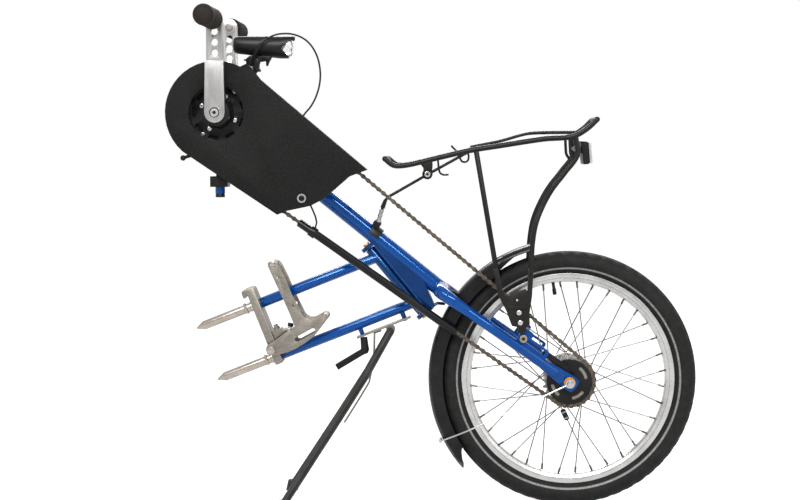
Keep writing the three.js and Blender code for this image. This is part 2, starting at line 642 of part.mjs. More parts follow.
// Torque arm: from the slot in the near blade's bracket to the fixed brake cone
const torque = { low: -57, high: -54, half: 6, ring: 15, kneeBack: 24 };
function torqueArm() {
  const [bx, bz] = onBlade(anchor.end - anchor.slot * 3, slotUp);
  const [kx, kz] = onBlade(bladeLength - torque.kneeBack, slotUp);
  const arm = flat(V(bx, 0, bz), V(kx, 0, kz), torque.half * 2, torque.low, torque.high);
  const knee = cross(kx, kz, torque.low, torque.high, torque.half, 12);
  const drop = flat(V(kx, 0, kz), V(0, 0, axleHeight), torque.half * 2, torque.low, torque.high);
  const ring = cross(0, axleHeight, torque.low, torque.high, torque.ring);
  const bore = cross(0, axleHeight, torque.low - overrun, torque.high + overrun, axle.radius + gap, 16);
  return cut(join(arm, knee, drop, ring), bore);
}
piece('torque_arm', torqueArm(), black);
const slotBolt = { radius: 7.5, head: 4 };
for (const [name, side] of [['near', -1], ['far', 1]]) {
  const [bx, bz] = onBlade(anchor.start + anchor.slot * 3, slotUp);
  const face = bladeY + anchor.thick / 2 + gap;
  const headBolt = cross(bx, bz, ...onSide(side, face, face + slotBolt.head), slotBolt.radius, 20);
  const shank = cross(bx, bz, side * bladeY - anchor.thick, side * bladeY + anchor.thick, anchor.slot - gap,
    10);
  piece(`slot_bolt_${name}`, join(headBolt, shank), bronze);
}

// Roller chain: one closed loop whose pins sit in the gaps between the teeth.
// On the wheels it is two side plates with rollers between them; on the runs the links are closed up.
const link = { half: 4.1, waist: 2.9, outer: 3.4, inner: 1.7, roller: 3, lead: 3 };
function chainPins() {
  const pins = [];
  const wrap = (x, z, radius, from, step, count, wheel) => {
    for (let i = 0; i <= count; i += 1) {
      const [px, pz] = polar(x, z, radius, from + step * i);
      pins.push({ x: px, z: pz, onWheel: wheel });
    }
  };
  const runTo = (goal) => {
    const from = pins[pins.length - 1];
    const count = Math.round(Math.hypot(goal[0] - from.x, goal[1] - from.z) / pitch);
    for (let i = 1; i < count; i += 1) {
      const share = i / count;
      const nearWheel = i <= link.lead || i >= count - link.lead;
      pins.push({ x: from.x + (goal[0] - from.x) * share, z: from.z + (goal[1] - from.z) * share,
        onWheel: nearWheel });
    }
  };
  const ringCount = Math.floor((180 + 2 * drive.spread) / ringStep);
  const cogCount = Math.floor((180 - 2 * drive.spread) / cogStep);
  wrap(crankX, crankZ, ringRadius, drive.upper, ringStep, ringCount, true);
  runTo(polar(0, axleHeight, cogRadius, drive.upper - cogStep * cogCount));
  wrap(0, axleHeight, cogRadius, drive.upper - cogStep * cogCount, cogStep, cogCount, true);
  runTo([pins[0].x, pins[0].z]);
  return pins;
}
// Edge of the chain on one side: on a run it is wide at each pin and narrow between them
function chainEdge(pins, side, waisted) {
  const points = [];
  const count = pins.length;
  pins.forEach((pin, i) => {
    const before = pins[Math.max(i - 1, 0)];
    const after = pins[Math.min(i + 1, count - 1)];
    const along = new THREE.Vector2(after.x - before.x, after.z - before.z).normalize();
    points.push([pin.x - along.y * link.half * side, pin.z + along.x * link.half * side]);
    if (waisted && i < count - 1) {
      const step = new THREE.Vector2(after.x - pin.x, after.z - pin.z);
      const unit = step.clone().normalize();
      points.push([pin.x + step.x / 2 - unit.y * link.waist * side,
        pin.z + step.y / 2 + unit.x * link.waist * side]);
    }
  });
  return points;
}
function chain() {
  const pins = chainPins();
  const forms = [];
  let stretch = [];
  const count = pins.length;
  const first = pins.findIndex((pin, i) => pin.onWheel !== pins[(i + count - 1) % count].onWheel);
  for (let i = 0; i <= count; i += 1) {
    const pin = pins[(first + i) % count];
    stretch.push(pin);
    const next = pins[(first + i + 1) % count];
    if (i === count || next.onWheel !== stretch[0].onWheel) {
      if (stretch.length > 1) {
        if (!stretch[0].onWheel) {
          const ends = [pins[(pins.indexOf(stretch[0]) + count - 1) % count], ...stretch, next];
          stretch = ends;
        }
        const run = !stretch[1].onWheel;
        const band = [...chainEdge(stretch, 1, run), ...chainEdge(stretch, -1, run).reverse()];
        const shape = new THREE.Shape(band.map(([x, z]) => new THREE.Vector2(x, z)));
        if (run) {
          forms.push(plate(shape, chainY - link.outer, chainY + link.outer));
        } else {
          forms.push(plate(shape, chainY - link.outer, chainY - link.inner));
          forms.push(plate(shape, chainY + link.inner, chainY + link.outer));
        }
      }
      stretch = [];
    }
  }
  pins.filter((pin) => pin.onWheel).forEach((pin) => {
    forms.push(cross(pin.x, pin.z, chainY - link.inner - gap, chainY + link.inner + gap, link.roller, 3));
  });
  return join(forms);
}
piece('chain', chain(), bronze);

// Docking side: a tube that turns in the steering head carries two stacked arms.
// Each arm slopes down to the chair and ends in a docking pin.
const armSlope = V(-0.929, 0, -0.37).normalize();
const armUp = V(armSlope.z, 0, -armSlope.x);
const upperRoot = { ahead: 26, drop: 35 }; // from the top of the steering head
const lowerRoot = { back: 40, rise: 26.5 }; // from its bottom
const lowerArmLength = 266;
const lowerArm = { headX: headBottomX - lowerRoot.back, headZ: headBottomZ + lowerRoot.rise,
  length: lowerArmLength };
const upperArm = { headX: headTopX + upperRoot.ahead, headZ: headTopZ - upperRoot.drop };
// Both arms end at one plane, square to them, where the latch post stands
upperArm.length = lowerArm.length + V(lowerArm.headX - upperArm.headX, 0,
  lowerArm.headZ - upperArm.headZ).dot(armSlope);
const armPoint = (arm, along, up = 0, y = 0) => V(arm.headX, y, arm.headZ)
  .addScaledVector(armSlope, along).addScaledVector(armUp, up);
const steerTubeStart = ear.top + ear.thick + run;
const steerTubeEnd = headLength - ear.bottom - ear.thick - run;
const clearSteerTube = bar(onHead(0, 0), onHead(headLength, 0), steerTube.radius + gap,
  steerTube.radius + gap, 18);
piece('steering_tube', cut(
  bar(onHead(steerTubeStart, 0), onHead(steerTubeEnd, 0), steerTube.radius, steerTube.radius, 18),
  bar(onHead(0, 0), onHead(headLength, 0), steerTube.boltRadius + gap, steerTube.boltRadius + gap, 16)),
  blue);

// Steering bolts screw into the tube through each ear; the upper one has a small lock lever
const steerBolt = { radius: 6.6, head: 4.4, deep: 12 };
function steeringBolt(outside, way) {
  const seat = outside + way * gap;
  return join(bar(onHead(seat, 0), onHead(seat + way * steerBolt.head, 0), steerBolt.radius,
    steerBolt.radius, 6),
    bar(onHead(seat + way * weld, 0), onHead(outside - way * (ear.thick + steerBolt.deep), 0),
      steerTube.boltRadius, steerTube.boltRadius, 12));
}
piece('steering_bolt_upper', steeringBolt(ear.top, -1), bronze);
piece('steering_bolt_lower', steeringBolt(headLength - ear.bottom, 1), blue);

function dockArm(arm) {
  const body = bar(armPoint(arm, -armRadius * 1.5), armPoint(arm, arm.length), armRadius, armRadius, 14);
  const behind = bar(onHead(-headLength / 2, -armRadius * 2), onHead(headLength * 1.5, -armRadius * 2),
    armRadius * 2, armRadius * 2, 16);
  const bore = bar(armPoint(arm, arm.length - dockPin.root), armPoint(arm, arm.length + overrun),
    dockPin.screw + gap * 2, dockPin.screw + gap * 2, 8);
  return largest(cut(body, clearSteerTube, behind, bore));
}
const dockPin = {
  root: 30, screw: 5, neck: 7, washer: 10.2, collar: 12, collarWide: 6, shoulder: 24, length: 104,
  tip: 12, tipRadius: 1.5,
};
piece('upper_arm', dockArm(upperArm), blue);

// The lower arm carries two lugs for the stand rail
const lug = { first: 103, second: 14, drop: 21, radius: 5.5, foot: 4.6 };
function lowerArmForm() {
  const lugs = [lug.first, lug.second].map((along) => bar(armPoint(lowerArm, along, -armRadius / 2),
    armPoint(lowerArm, along, -lug.drop), lug.radius, lug.foot, 8));
  const bore = bar(armPoint(lowerArm, lowerArm.length - dockPin.root), armPoint(lowerArm, lowerArm.length),
    dockPin.screw + gap * 2, dockPin.screw + gap * 2, 8);
  return cut(join(dockArm(lowerArm), lugs), bore);
}
piece('lower_arm', lowerArmForm(), blue);

// Docking pins: a screw in the arm, a neck through the latch post, two collars and a pointed nose
function dockingPin(arm) {
  const at = (along) => armPoint(arm, arm.length + along);
  const nose = dockPin.shoulder + dockPin.length;
  const nutStart = dockPin.shoulder + dockPin.collarWide;
  return join(
    bar(at(-dockPin.root + weld), at(dockPin.shoulder), dockPin.screw, dockPin.screw, 8),
    bar(at(gap), at(dockPin.shoulder), dockPin.neck, dockPin.neck, 10),
    bar(at(dockPin.shoulder - weld), at(nose), dockPinRadius, dockPinRadius, 12),
    bar(at(nose), at(nose + dockPin.tip), dockPinRadius, dockPin.tipRadius, 12),
    bar(at(dockPin.shoulder - dockPin.collarWide), at(dockPin.shoulder), dockPin.washer, dockPin.washer,
    12),
    bar(at(nutStart), at(nutStart + dockPin.collarWide), dockPin.collar, dockPin.collar, 6));
}
piece('docking_pin_upper', dockingPin(upperArm), steel);
piece('docking_pin_lower', dockingPin(lowerArm), steel);

// Latch post: a channel across both pins with a hook on top and a block that holds the lever pivot
const post = {
  start: 1, web: 4, deep: 16, half: 22, wall: 3, top: 147, bottom: -14, block: 34, pivotAlong: 13.6,
  pivotUp: 17, pivotRadius: 5, hookReach: 27, hookDrop: 16, hookThick: 7, hookRoot: 8.4,
};
const postPoint = (along, up) => armPoint(lowerArm, lowerArm.length + along, up);
const postFlat = (along, up, radius = 0) => [...flatPoint(postPoint(along, up)), radius];
function latchPost() {
  const rear = post.start + post.deep;
  const body = plate(outline([
    postFlat(post.start, post.bottom, post.wall), postFlat(rear, post.bottom, post.wall),
    postFlat(rear, post.top - post.hookThick),
    postFlat(post.hookReach - post.hookThick, post.top - post.hookRoot),
    postFlat(post.hookReach - post.hookThick, post.top - post.hookDrop, post.wall / 2),
    postFlat(post.hookReach, post.top - post.hookDrop, post.wall / 2),
    postFlat(post.hookReach, post.top, post.hookThick),
    postFlat(post.start, post.top, post.hookThick),
  ].reverse()), -post.half, post.half);
  const channel = plate(outline([
    postFlat(post.start + post.web, post.block), postFlat(post.hookReach + overrun, post.block),
    postFlat(post.hookReach + overrun, post.top + overrun),
    postFlat(post.start + post.web, post.top + overrun),
  ].reverse()), -post.half + post.wall, post.half - post.wall);
  const bores = [upperArm, lowerArm].map((arm) => bar(armPoint(arm, arm.length - overrun * 2),
    armPoint(arm, arm.length + post.deep * 2), dockPin.neck + gap * 2, dockPin.neck + gap * 2, 10));
  const [px, pz] = flatPoint(postPoint(post.pivotAlong, post.pivotUp));
  const pivot = cross(px, pz, -post.half - overrun, post.half + overrun, post.pivotRadius + gap, 12);
  return cut(body, channel, bores, pivot);
}
piece('latch_post', latchPost(), steel);
const [pivotX, pivotZ] = flatPoint(postPoint(post.pivotAlong, post.pivotUp));

// Stop bracket beside the post, with its adjusting bolt and nut
const stop = { from: -22, to: 0.4, low: 30, high: 51, half: 18, ledge: 5, boltAlong: -11, boltRadius: 4.5,
  head: 5, nut: 6.5 };
function stopBracket() {
  return plate(outline([
    postFlat(stop.from, stop.high - stop.ledge), postFlat(stop.from, stop.high),
    postFlat(stop.to, stop.high), postFlat(stop.to, stop.low), postFlat(stop.to - stop.ledge, stop.low),
    postFlat(stop.to - stop.ledge, stop.high - stop.ledge),
  ]), -stop.half, -stop.half / 3);
}
const stopY = -stop.half * 2 / 3;
function stopPart(from, to, radius, sides) {
  return bar(armPoint(lowerArm, lowerArm.length + stop.boltAlong, from, stopY),
    armPoint(lowerArm, lowerArm.length + stop.boltAlong, to, stopY), radius, radius, sides);
}
piece('stop_bracket', join(stopBracket(), stopPart(stop.high - weld, stop.high + stop.head, stop.nut, 6),
  stopPart(stop.high + stop.head - weld, stop.high + stop.head * 2, stop.boltRadius, 6)), steel);

// Docking lever: two matching plates on one pivot, joined by a grip bar and a tip pin.
// Its outline is given in shares of the distance from the pivot to the grip bar.
const lever = {
  inner: 25.5, thick: 3, reach: 170, barRadius: 6.5, tipRadius: 4.5, pivotHead: 8, pivotCap: 3,
  slotHalf: 4.6, holeRadius: 3.4,
};
const leverShares = [
  [-0.055, 1.03, 0.08], [0.07, 1.03, 0.08], [0.165, 0.84], [0.25, 0.64], [0.335, 0.47, 0.1],
  [0.38, 0.38, 0.1], [0.47, 0.355, 0.1], [0.63, 0.445, 0.04], [0.665, 0.385, 0.04], [0.5, 0.17],
  [0.395, 0.09], [0.3, 0.03], [0.19, -0.02], [0.05, -0.06, 0.05], [-0.055, -0.055, 0.06],
  [-0.06, 0.05, 0.06], [0.07, 0.135], [0.19, 0.225, 0.03], [0.29, 0.25, 0.05], [0.2, 0.47],
];
const leverAt = (a, b) => [pivotX + a * lever.reach, pivotZ + b * lever.reach];
const leverBar = leverAt(0.02, 1);
const leverTip = leverAt(0.62, 0.405);
const leverSlot = [leverAt(0.3, 0.13), leverAt(0.49, 0.235)];
const leverHoles = [leverAt(0.09, 0.85), leverAt(0.255, 0.52)];
function leverPlate(low) {
  const high = low + lever.thick;
  const shape = outline(leverShares.map(([a, b, r = 0.015]) => [...leverAt(a, b),
    r * lever.reach]).reverse());
  const [from, to] = leverSlot;
  const tools = [
    flat(V(...insertY(from, 0)), V(...insertY(to, 0)), lever.slotHalf * 2, low - overrun, high + overrun),
    ...leverSlot.map(([x, z]) => cross(x, z, low - overrun, high + overrun, lever.slotHalf, 8)),
    ...leverHoles.map(([x, z]) => cross(x, z, low - overrun, high + overrun, lever.holeRadius, 6)),
    cross(pivotX, pivotZ, low - overrun, high + overrun, post.pivotRadius + gap, 12),
    cross(...leverBar, low - overrun, high + overrun, lever.barRadius - weld + gap, 8),
    cross(...leverTip, low - overrun, high + overrun, lever.tipRadius - weld + gap, 8),
  ];
  return cut(plate(shape, low, high, 2), tools);
}
piece('lever_plate_near', leverPlate(-lever.inner - lever.thick), steel);
piece('lever_plate_far', leverPlate(lever.inner), steel);
const leverOuter = lever.inner + lever.thick;
function leverPin([x, z], radius) {
  return join(cross(x, z, -lever.inner + gap, lever.inner - gap, radius, 10),
    cross(x, z, -leverOuter - weld, leverOuter + weld, radius - weld, 8));
}
piece('lever_grip_bar', leverPin(leverBar, lever.barRadius), bright);
piece('lever_tip_pin', leverPin(leverTip, lever.tipRadius), bright);
piece('lever_pivot_pin', join(
  cross(pivotX, pivotZ, -leverOuter - lever.pivotCap, leverOuter + lever.pivotCap, post.pivotRadius, 12),
  cross(pivotX, pivotZ, -leverOuter - lever.pivotCap - gap, -leverOuter - gap, lever.pivotHead, 12),
  cross(pivotX, pivotZ, leverOuter + gap, leverOuter + lever.pivotCap + gap, lever.pivotHead, 12)), steel);

// Rack: a bent platform hoop held by a near and a far leg and by one stay to the main tube.
// Its lines are given in shares of its length, from its low front corner, and drawn above the tyre.
const rack = { length: 404, over: 180, rear: 48, y: 65, rod: 5, legRod: 4.6, hoopSteps: 12 };
const rackZ = axleHeight + tyreRadius + rack.over;
const rackPoint = ([a, b], y = 0) => V(rack.rear - rack.length * (1 - a), y, rackZ + rack.length * b);
// The third number of a place is 1 where a cross bar joins both rails
const hoopShares = [
  [0, 0, 1], [0.0396, -0.0297, 0], [0.0842, -0.0322, 0], [0.2624, 0.0074, 0], [0.4035, 0.0396, 1],
  [0.5446, 0.0619, 0], [0.755, 0.0941, 1], [0.8886, 0.1064, 0], [0.9554, 0.1436, 0], [1, 0.1856, 1],
];
const barShares = hoopShares.filter((place) => place[2]);
const middleBar = rackPoint(barShares[1]);
const clearMiddleBar = cross(middleBar.x, middleBar.z, -rack.y * 2, rack.y * 2, rack.rod + gap, 12);
function rackPlatform() {
  const line = (side) => hoopShares.map((share) => rackPoint(share, side * rack.y));
  const rail = (side) => bentBar(line(side), rack.rod, rack.hoopSteps, 6);
  const bars = barShares.map((share) => {
    const { x, z } = rackPoint(share);
    return cross(x, z, -rack.y - rack.rod, rack.y + rack.rod, rack.rod, 6);
  });
  return join(rail(-1), rail(1), bars);
}
piece('rack_platform', rackPlatform(), black);

// Each leg: a straight rod and a curved rod held by a forked casting bolted to the blade's lug.
// The casting's outline is given from the lug in shares of the casting's height.
const casting = { height: 122, thick: 9, along: 184, up: 28, boltRadius: 5.2, boltHead: 3 };
const castingShares = [
  [-0.148, 0.033, 0.02], [-0.025, 0.033, 0.02], [-0.008, 0.131], [0.045, 0.164, 0.07],
  [0.035, 0.336, 0.05], [0.078, 0.623], [0.09, 1.049], [0.008, 1.049], [0.008, 0.66],
  [-0.02, 0.73, 0.02], [-0.254, 0.672, 0.02], [-0.295, 0.574, 0.02], [-0.393, 0.713], [-0.455, 1.049],
  [-0.533, 1.049], [-0.459, 0.648], [-0.32, 0.377], [-0.254, 0.18, 0.1], [-0.139, 0.131],
];
const castingBolts = [[-0.104, 0.203], [-0.125, 0.361]];
const castingWindow = [-0.157, 0.558];
const rodFoot = [[-0.434, 0.75], [0.045, 0.72]];
const straightTop = [0.4332, 0.0446];
const curvedShares = [
  [0.9035, 0.0842], [0.9084, 0.0173], [0.8515, -0.0644], [0.7896, -0.146], [0.7475, -0.2228],
  [0.7153, -0.3069], [0.7005, -0.396], [0.6955, -0.48],
];
const wideShares = 5; // points of the curved rod that lie out at the platform's rails
const [castingX, castingZ] = onBlade(casting.along, casting.up);
const castingPoint = ([a, b]) => [castingX + a * casting.height, castingZ + b * casting.height];
function rackLeg(side) {
  const face = bladeY + anchor.thick / 2 + gap;
  const rodY = side * (face + casting.thick / 2);
  const topY = side * rack.y;
  const [straightFoot, curvedFoot] = rodFoot.map((place) => V(...insertY(castingPoint(place), rodY)));
  const straightHead = rackPoint(straightTop, topY);
  straightHead.z -= rack.rod + gap;
  const straight = bar(straightHead, straightFoot, rack.legRod, rack.legRod, 6);
  const path = curvedShares.map((share, i) => rackPoint(share, i < wideShares ? topY : rodY));
  const curved = bentBar([...path, curvedFoot], rack.legRod, 12, 6);
  const shape = outline(castingShares.map(([a, b, r = 0]) => (
    [...castingPoint([a, b]), r * casting.height])));
  const [low, high] = onSide(side, face, face + casting.thick);
  const body = plate(shape, low, high);
  const outer = face + casting.thick;
  const bolts = castingBolts.map((place) => (
    cross(...castingPoint(place), ...onSide(side, outer - gap, outer + casting.boltHead),
      casting.boltRadius, 8)));
  const window = cross(...castingPoint(castingWindow), low - overrun, high + overrun,
    casting.boltRadius / 2, 4);
  return largest(cut(join(straight, curved, body, bolts), window, clearMiddleBar));
}
piece('rack_leg_near', rackLeg(-1), black);
piece('rack_leg_far', rackLeg(1), black);

// Front stay: a clamp on the main tube, a rod, and a hook bracket under the hoop
const stay = {
  clampAlong: 380, clampLong: 22, clampWide: 24, rod: 3.5, hookY: -22, hookThick: 4, eye: 9, eyeHalf: 5,
  hook: 92,
};
const stayShares = [[-0.005, -0.1832], [0.198, -0.0792]];
const hookShares = [
  [-0.087, 0], [0.109, 0, 0.043], [0.152, 0.283], [0.761, 0.37, 0.065], [1, 0.457, 0.043],
  [0.978, 0.543, 0.043], [0.674, 0.478], [0.043, 0.326, 0.043], [-0.13, 0.152],
];
const tubeAlong = V(crownX - crankX, 0, crownZ - crankZ).normalize();
const tubeAt = (along) => V(crankX, 0, crankZ).addScaledVector(tubeAlong, along);
const clampFrom = tubeAt(stay.clampAlong - stay.clampLong / 2);
const clampTo = tubeAt(stay.clampAlong + stay.clampLong / 2);
const lugX = clampFrom.x + tubeRadius;
const lugZ = clampFrom.z + tubeRadius;
function stayClamp() {
  const outer = tubeRadius + stay.hookThick;
  const band = bar(clampFrom, clampTo, outer, outer, 14);
  const ear = cross(lugX, lugZ, stay.hookY + stay.rod + gap, stay.clampWide / 2, tubeRadius / 2, 10);
  const bore = bar(tubeAt(0), tubeAt(stay.clampAlong * 2), tubeRadius + gap, tubeRadius + gap, 16);
  const depth = tubeRadius * 4;
  const down = V(tubeAlong.z, 0, -tubeAlong.x).multiplyScalar(depth / 2);
  const under = flat(tubeAt(0).add(down), tubeAt(stay.clampAlong * 2).add(down), depth, -depth / 2,
    depth / 2);
  return largest(cut(join(band, ear), bore, under));
}
piece('stay_clamp', stayClamp(), black);
function frontStay() {
  const [knee, end] = stayShares.map((share) => rackPoint(share, stay.hookY));
  const rod = bentBar([V(lugX, stay.hookY, lugZ), knee, end], stay.rod, 8, 6);
  const lowEye = cross(lugX, lugZ, stay.hookY - stay.rod, stay.hookY + stay.rod, tubeRadius / 2, 10);
  const highEye = cross(end.x, end.z, stay.hookY - stay.eyeHalf, stay.hookY + stay.eyeHalf, stay.eye, 12);
  const shape = outline(hookShares.map(([a, b, r = 0]) => (
    [end.x + a * stay.hook, end.z + b * stay.hook, r * stay.hook])));
  const hook = plate(shape, stay.hookY - stay.hookThick / 2, stay.hookY + stay.hookThick / 2, 3);
  return largest(cut(join(rod, lowEye, highEye, hook), clearMiddleBar));
}
piece('rack_stay', frontStay(), black);

// Sprung flap that holds a load on the platform
const flap = { y: 40, rod: 3, steps: 8 };
const flapShares = [[0.4109, 0.0567], [0.547, 0.0842], [0.6436, 0.1114], [0.6931, 0.1213],
  [0.9084, 0.1262]];
function rackFlap() {
  const line = (side) => flapShares.map((share) => rackPoint(share, side * flap.y));
  const arm = (side) => bentBar(line(side), flap.rod, flap.steps, 6);
  const ends = [flapShares[0], flapShares[4]].map((share) => {
    const { x, z } = rackPoint(share);
    return cross(x, z, -flap.y - flap.rod, flap.y + flap.rod, flap.rod, 6);
  });
  return join(arm(-1), arm(1), ends);
}
piece('rack_flap', rackFlap(), black);

// Rear reflector on a bracket between the curved rods
const reflector = {
  width: 80, high: 46, deep: 14, lens: 6, lean: 8, round: 3, step: 2, inset: 4, rod: 3, bracket: 10,
  ahead: 10,
};
const reflectorTop = rackPoint(curvedShares[0]);
function rearReflector() {
  const left = reflectorTop.x + reflector.ahead;
  const top = reflectorTop.z;
  const bottom = top - reflector.high;
  const shape = (from, to) => outline([
    [left + from, top, reflector.round],
    [left + from + reflector.lean, bottom, reflector.round],
    [left + to + reflector.lean, bottom + reflector.step, reflector.step],
    [left + to, top - reflector.step, reflector.step],
  ]);
  const half = reflector.width / 2;
  const barZ = top - reflector.deep;
  const barEnd = rack.y - rack.legRod - gap;
  const crossBar = cross(reflectorTop.x, barZ, -barEnd, barEnd, reflector.rod, 8);
  const bracket = flat(V(reflectorTop.x, 0, barZ), V(left + reflector.step * 2, 0, barZ - reflector.lens),
    reflector.bracket, -half / 2, half / 2);
  const lens = plate(shape(reflector.deep - weld, reflector.deep + reflector.lens),
    -half + reflector.inset, half - reflector.inset);
  return join(plate(shape(0, reflector.deep), -half, half), lens, crossBar, bracket);
}
piece('rear_reflector', rearReflector(), black);

// Mudguard: an arched strip round the back of the tyre, with a tab either side of the main tube
const mud = {
  over: 24, edgeOver: 12, half: 29, wideShare: 0.85, flatShare: 0.45, thick: 2, shoulder: 5, from: 105,
  to: 221, steps: 4, tabIn: 8, tabOut: 15,
};
const mudOuter = tyreRadius + mud.over;
const mudEdge = tyreRadius + mud.edgeOver;
function mudguard() {
  const wide = mud.half * mud.wideShare;
  const flatTop = mud.half * mud.flatShare;
  const inner = mudOuter - mud.thick;
  const strip = revolve([
    [mudOuter, -flatTop], [mudOuter, flatTop], [mudOuter - mud.shoulder, wide], [mudEdge, mud.half],
    [mudEdge, mud.half - mud.thick], [inner - mud.shoulder, wide - mud.thick],
    [inner, flatTop - mud.thick / 2], [inner, -flatTop + mud.thick / 2],
    [inner - mud.shoulder, -wide + mud.thick], [mudEdge, -mud.half + mud.thick],
    [mudEdge, -mud.half], [mudOuter - mud.shoulder, -wide],
  ], 0, axleHeight, 36);
  const wedge = new THREE.Shape();
  wedge.moveTo(0, axleHeight);
  for (let i = 0; i <= mud.steps; i += 1) {
    wedge.lineTo(...polar(0, axleHeight, mudOuter * 2, mud.from + (mud.to - mud.from) * i / mud.steps));
  }
  wedge.closePath();
  const tabs = [mud.tabIn, -mud.tabOut].map((low) => (
    flat(V(0, 0, axleHeight), V(crownX, 0, crownZ), mud.half, low, low + mud.tabOut - mud.tabIn)));
  const tubeClear = bar(V(crankX, 0, crankZ), V(crownX, 0, crownZ), tubeRadius + gap * 2);
  const inside = cross(0, axleHeight, -mud.half, mud.half, inner, 36);
  const yokeClear = cross(crownX, crownZ, -mud.half, mud.half, crown.radius + gap * 2, 16);
  const arch = strip.intersect(plate(wedge, -mud.half - overrun, mud.half + overrun));
  return join(arch, cut(join(tabs), inside, yokeClear, tubeClear));
}
piece('mudguard', mudguard(), grained);

// Wire stay from the axle to the lower mudguard
const wire = {
  radius: 1.6, angle: 206, over: 3, ring: 9, ringThick: 3, start: 7, ends: [-36, -14], pad: 3.4,
  bend: [0.25, 0.8],
};
function mudguardStay() {
  const seat = -(dropoutFace + nut.washerThick + nut.thick + gap * 4);
  const ring = cut(cross(0, axleHeight, seat - wire.ringThick, seat, wire.ring, 12),
    cross(0, axleHeight, seat - overrun, seat + overrun, axle.radius + gap, 12));
  const along = (distance, y) => V(...insertY(polar(0, axleHeight, distance, wire.angle), y));
  const end = mudOuter + wire.over;
  const [outY, inY] = wire.ends;
  const rod = bentBar([along(wire.start, seat - wire.ringThick / 2), along(end * wire.bend[0], seat),
    along(end * wire.bend[1], -bladeY), along(end, outY)], wire.radius, 10, 6);
  return join(ring, rod, bar(along(end, outY - wire.ringThick), along(end, inY), wire.pad, wire.pad, 8));
}
piece('mudguard_stay', mudguardStay(), bright);

// Guide tube that carries the slack chain run past the rider's legs, with its clamp and wire hanger.
// Its ends are given in shares of the lower run.
const guide = { radius: 8, bore: 6.6, from: 0.29, to: 0.7265, collar: 10.5, collarHalf: 7,
  collarShare: 0.0393, sides: 14 };
const lowerStart = polar(crankX, crankZ, ringRadius, drive.lower);
const lowerEnd = polar(0, axleHeight, cogRadius, drive.lower);
const lowerRun = V(lowerEnd[0] - lowerStart[0], 0, lowerEnd[1] - lowerStart[1]);
const onLowerRun = (share, past = 0) => V(lowerStart[0], chainY, lowerStart[1])
  .addScaledVector(lowerRun, share + past / lowerRun.length());
const hanger = { wire: 1.8, drop: 12.8, bend: [8, -8, 19.2], steps: 6 };
function guideTube() {
  const tube = bar(onLowerRun(guide.from), onLowerRun(guide.to), guide.radius, guide.radius, guide.sides);
  const clampShare = guide.from + guide.collarShare;
  const clampAt = onLowerRun(clampShare);
  const collar = bar(onLowerRun(clampShare, -guide.collarHalf), onLowerRun(clampShare, guide.collarHalf),
    guide.collar, guide.collar, guide.sides);
  const footEdge = V(screwX + carrier.footRadius + hanger.wire, chainY - hanger.drop,
    screwZ - carrier.footRadius / 2);
  const wireLine = bentBar([clampAt, clampAt.clone().add(V(...hanger.bend)), footEdge], hanger.wire,
    hanger.steps, 6);
  const bore = bar(onLowerRun(guide.from, -overrun), onLowerRun(guide.to, overrun), guide.bore, guide.bore,
    guide.sides);
  return cut(join(tube, collar, wireLine), bore);
}
piece('chain_guide_tube', guideTube(), black);

// Headlight above the guard: level on top and deeper at the front, on a tilting foot
const lamp = {
  back: 22, front: 121, rearRise: 134.4, frontRise: 128.2, rearRadius: 16.6, frontRadius: 21.2,
  narrow: 0.78, hood: 21.6, lip: 11, wall: 2.5, lensFrom: 2, lensTo: 14, lensStep: 2, sides: 14,
};
const tilt = { ahead: 66, rise: 100, radius: 8, half: 4, web: 12, cheek: 3, cheekDeep: 13, drop: 16,
  bridge: 9, bridgeThick: 5 };
const tiltX = crankX + tilt.ahead;
const tiltZ = crankZ + tilt.rise;
const lampFront = V(crankX + lamp.front, 0, crankZ + lamp.frontRise);
const lampRear = V(crankX + lamp.back + lamp.rearRadius, 0, crankZ + lamp.rearRise);
function lampBody() {
  const slim = (form) => form.scale([1, lamp.narrow, 1]);
  const body = bar(lampRear, lampFront, lamp.rearRadius, lamp.frontRadius, lamp.sides);
  const cap = new THREE.SphereGeometry(lamp.rearRadius, 10, 6);
  cap.translate(...lampRear.toArray());
  const hoodEnd = V(lampFront.x + lamp.hood, 0, lampFront.z);
  const past = V(hoodEnd.x + overrun, 0, lampFront.z);
  const root = V(lampFront.x - weld, 0, lampFront.z);
  const outer = lamp.frontRadius;
  const inner = outer - lamp.wall;
  const lip = lampFront.x + lamp.lip; // the visor reaches on past it above
  const below = boxAt((lip + past.x) / 2, lampFront.z - outer / 2, past.x - lip, outer * 2, -outer * 2,
    outer * 2);
  const hood = cut(bar(root, hoodEnd, outer, outer, lamp.sides),
    bar(lampFront, past, inner, inner, lamp.sides), below);
  const foot = cross(tiltX, tiltZ, -tilt.half, tilt.half, tilt.radius, 10);
  const web = flat(V(tiltX, 0, tiltZ), V(tiltX, 0, lampFront.z), tilt.web, -tilt.half, tilt.half);
  return join(slim(join(body, solid(cap), hood)), foot, web);
}
piece('headlight_body', lampBody(), black);
function lampLens() {
  const from = lampFront.clone().add(V(lamp.lensFrom, 0, 0));
  const to = lampFront.clone().add(V(lamp.lensTo, 0, 0));
  const radius = lamp.frontRadius - lamp.wall - gap;
  return bar(from, to, radius, radius - lamp.lensStep, lamp.sides).scale([1, lamp.narrow, 1]);
}
piece('headlight_lens', lampLens(), clear);
const bracketFoot = { ahead: 11.25, rise: 15, from: 2, drop: 14, wide: 14, half: 3 };
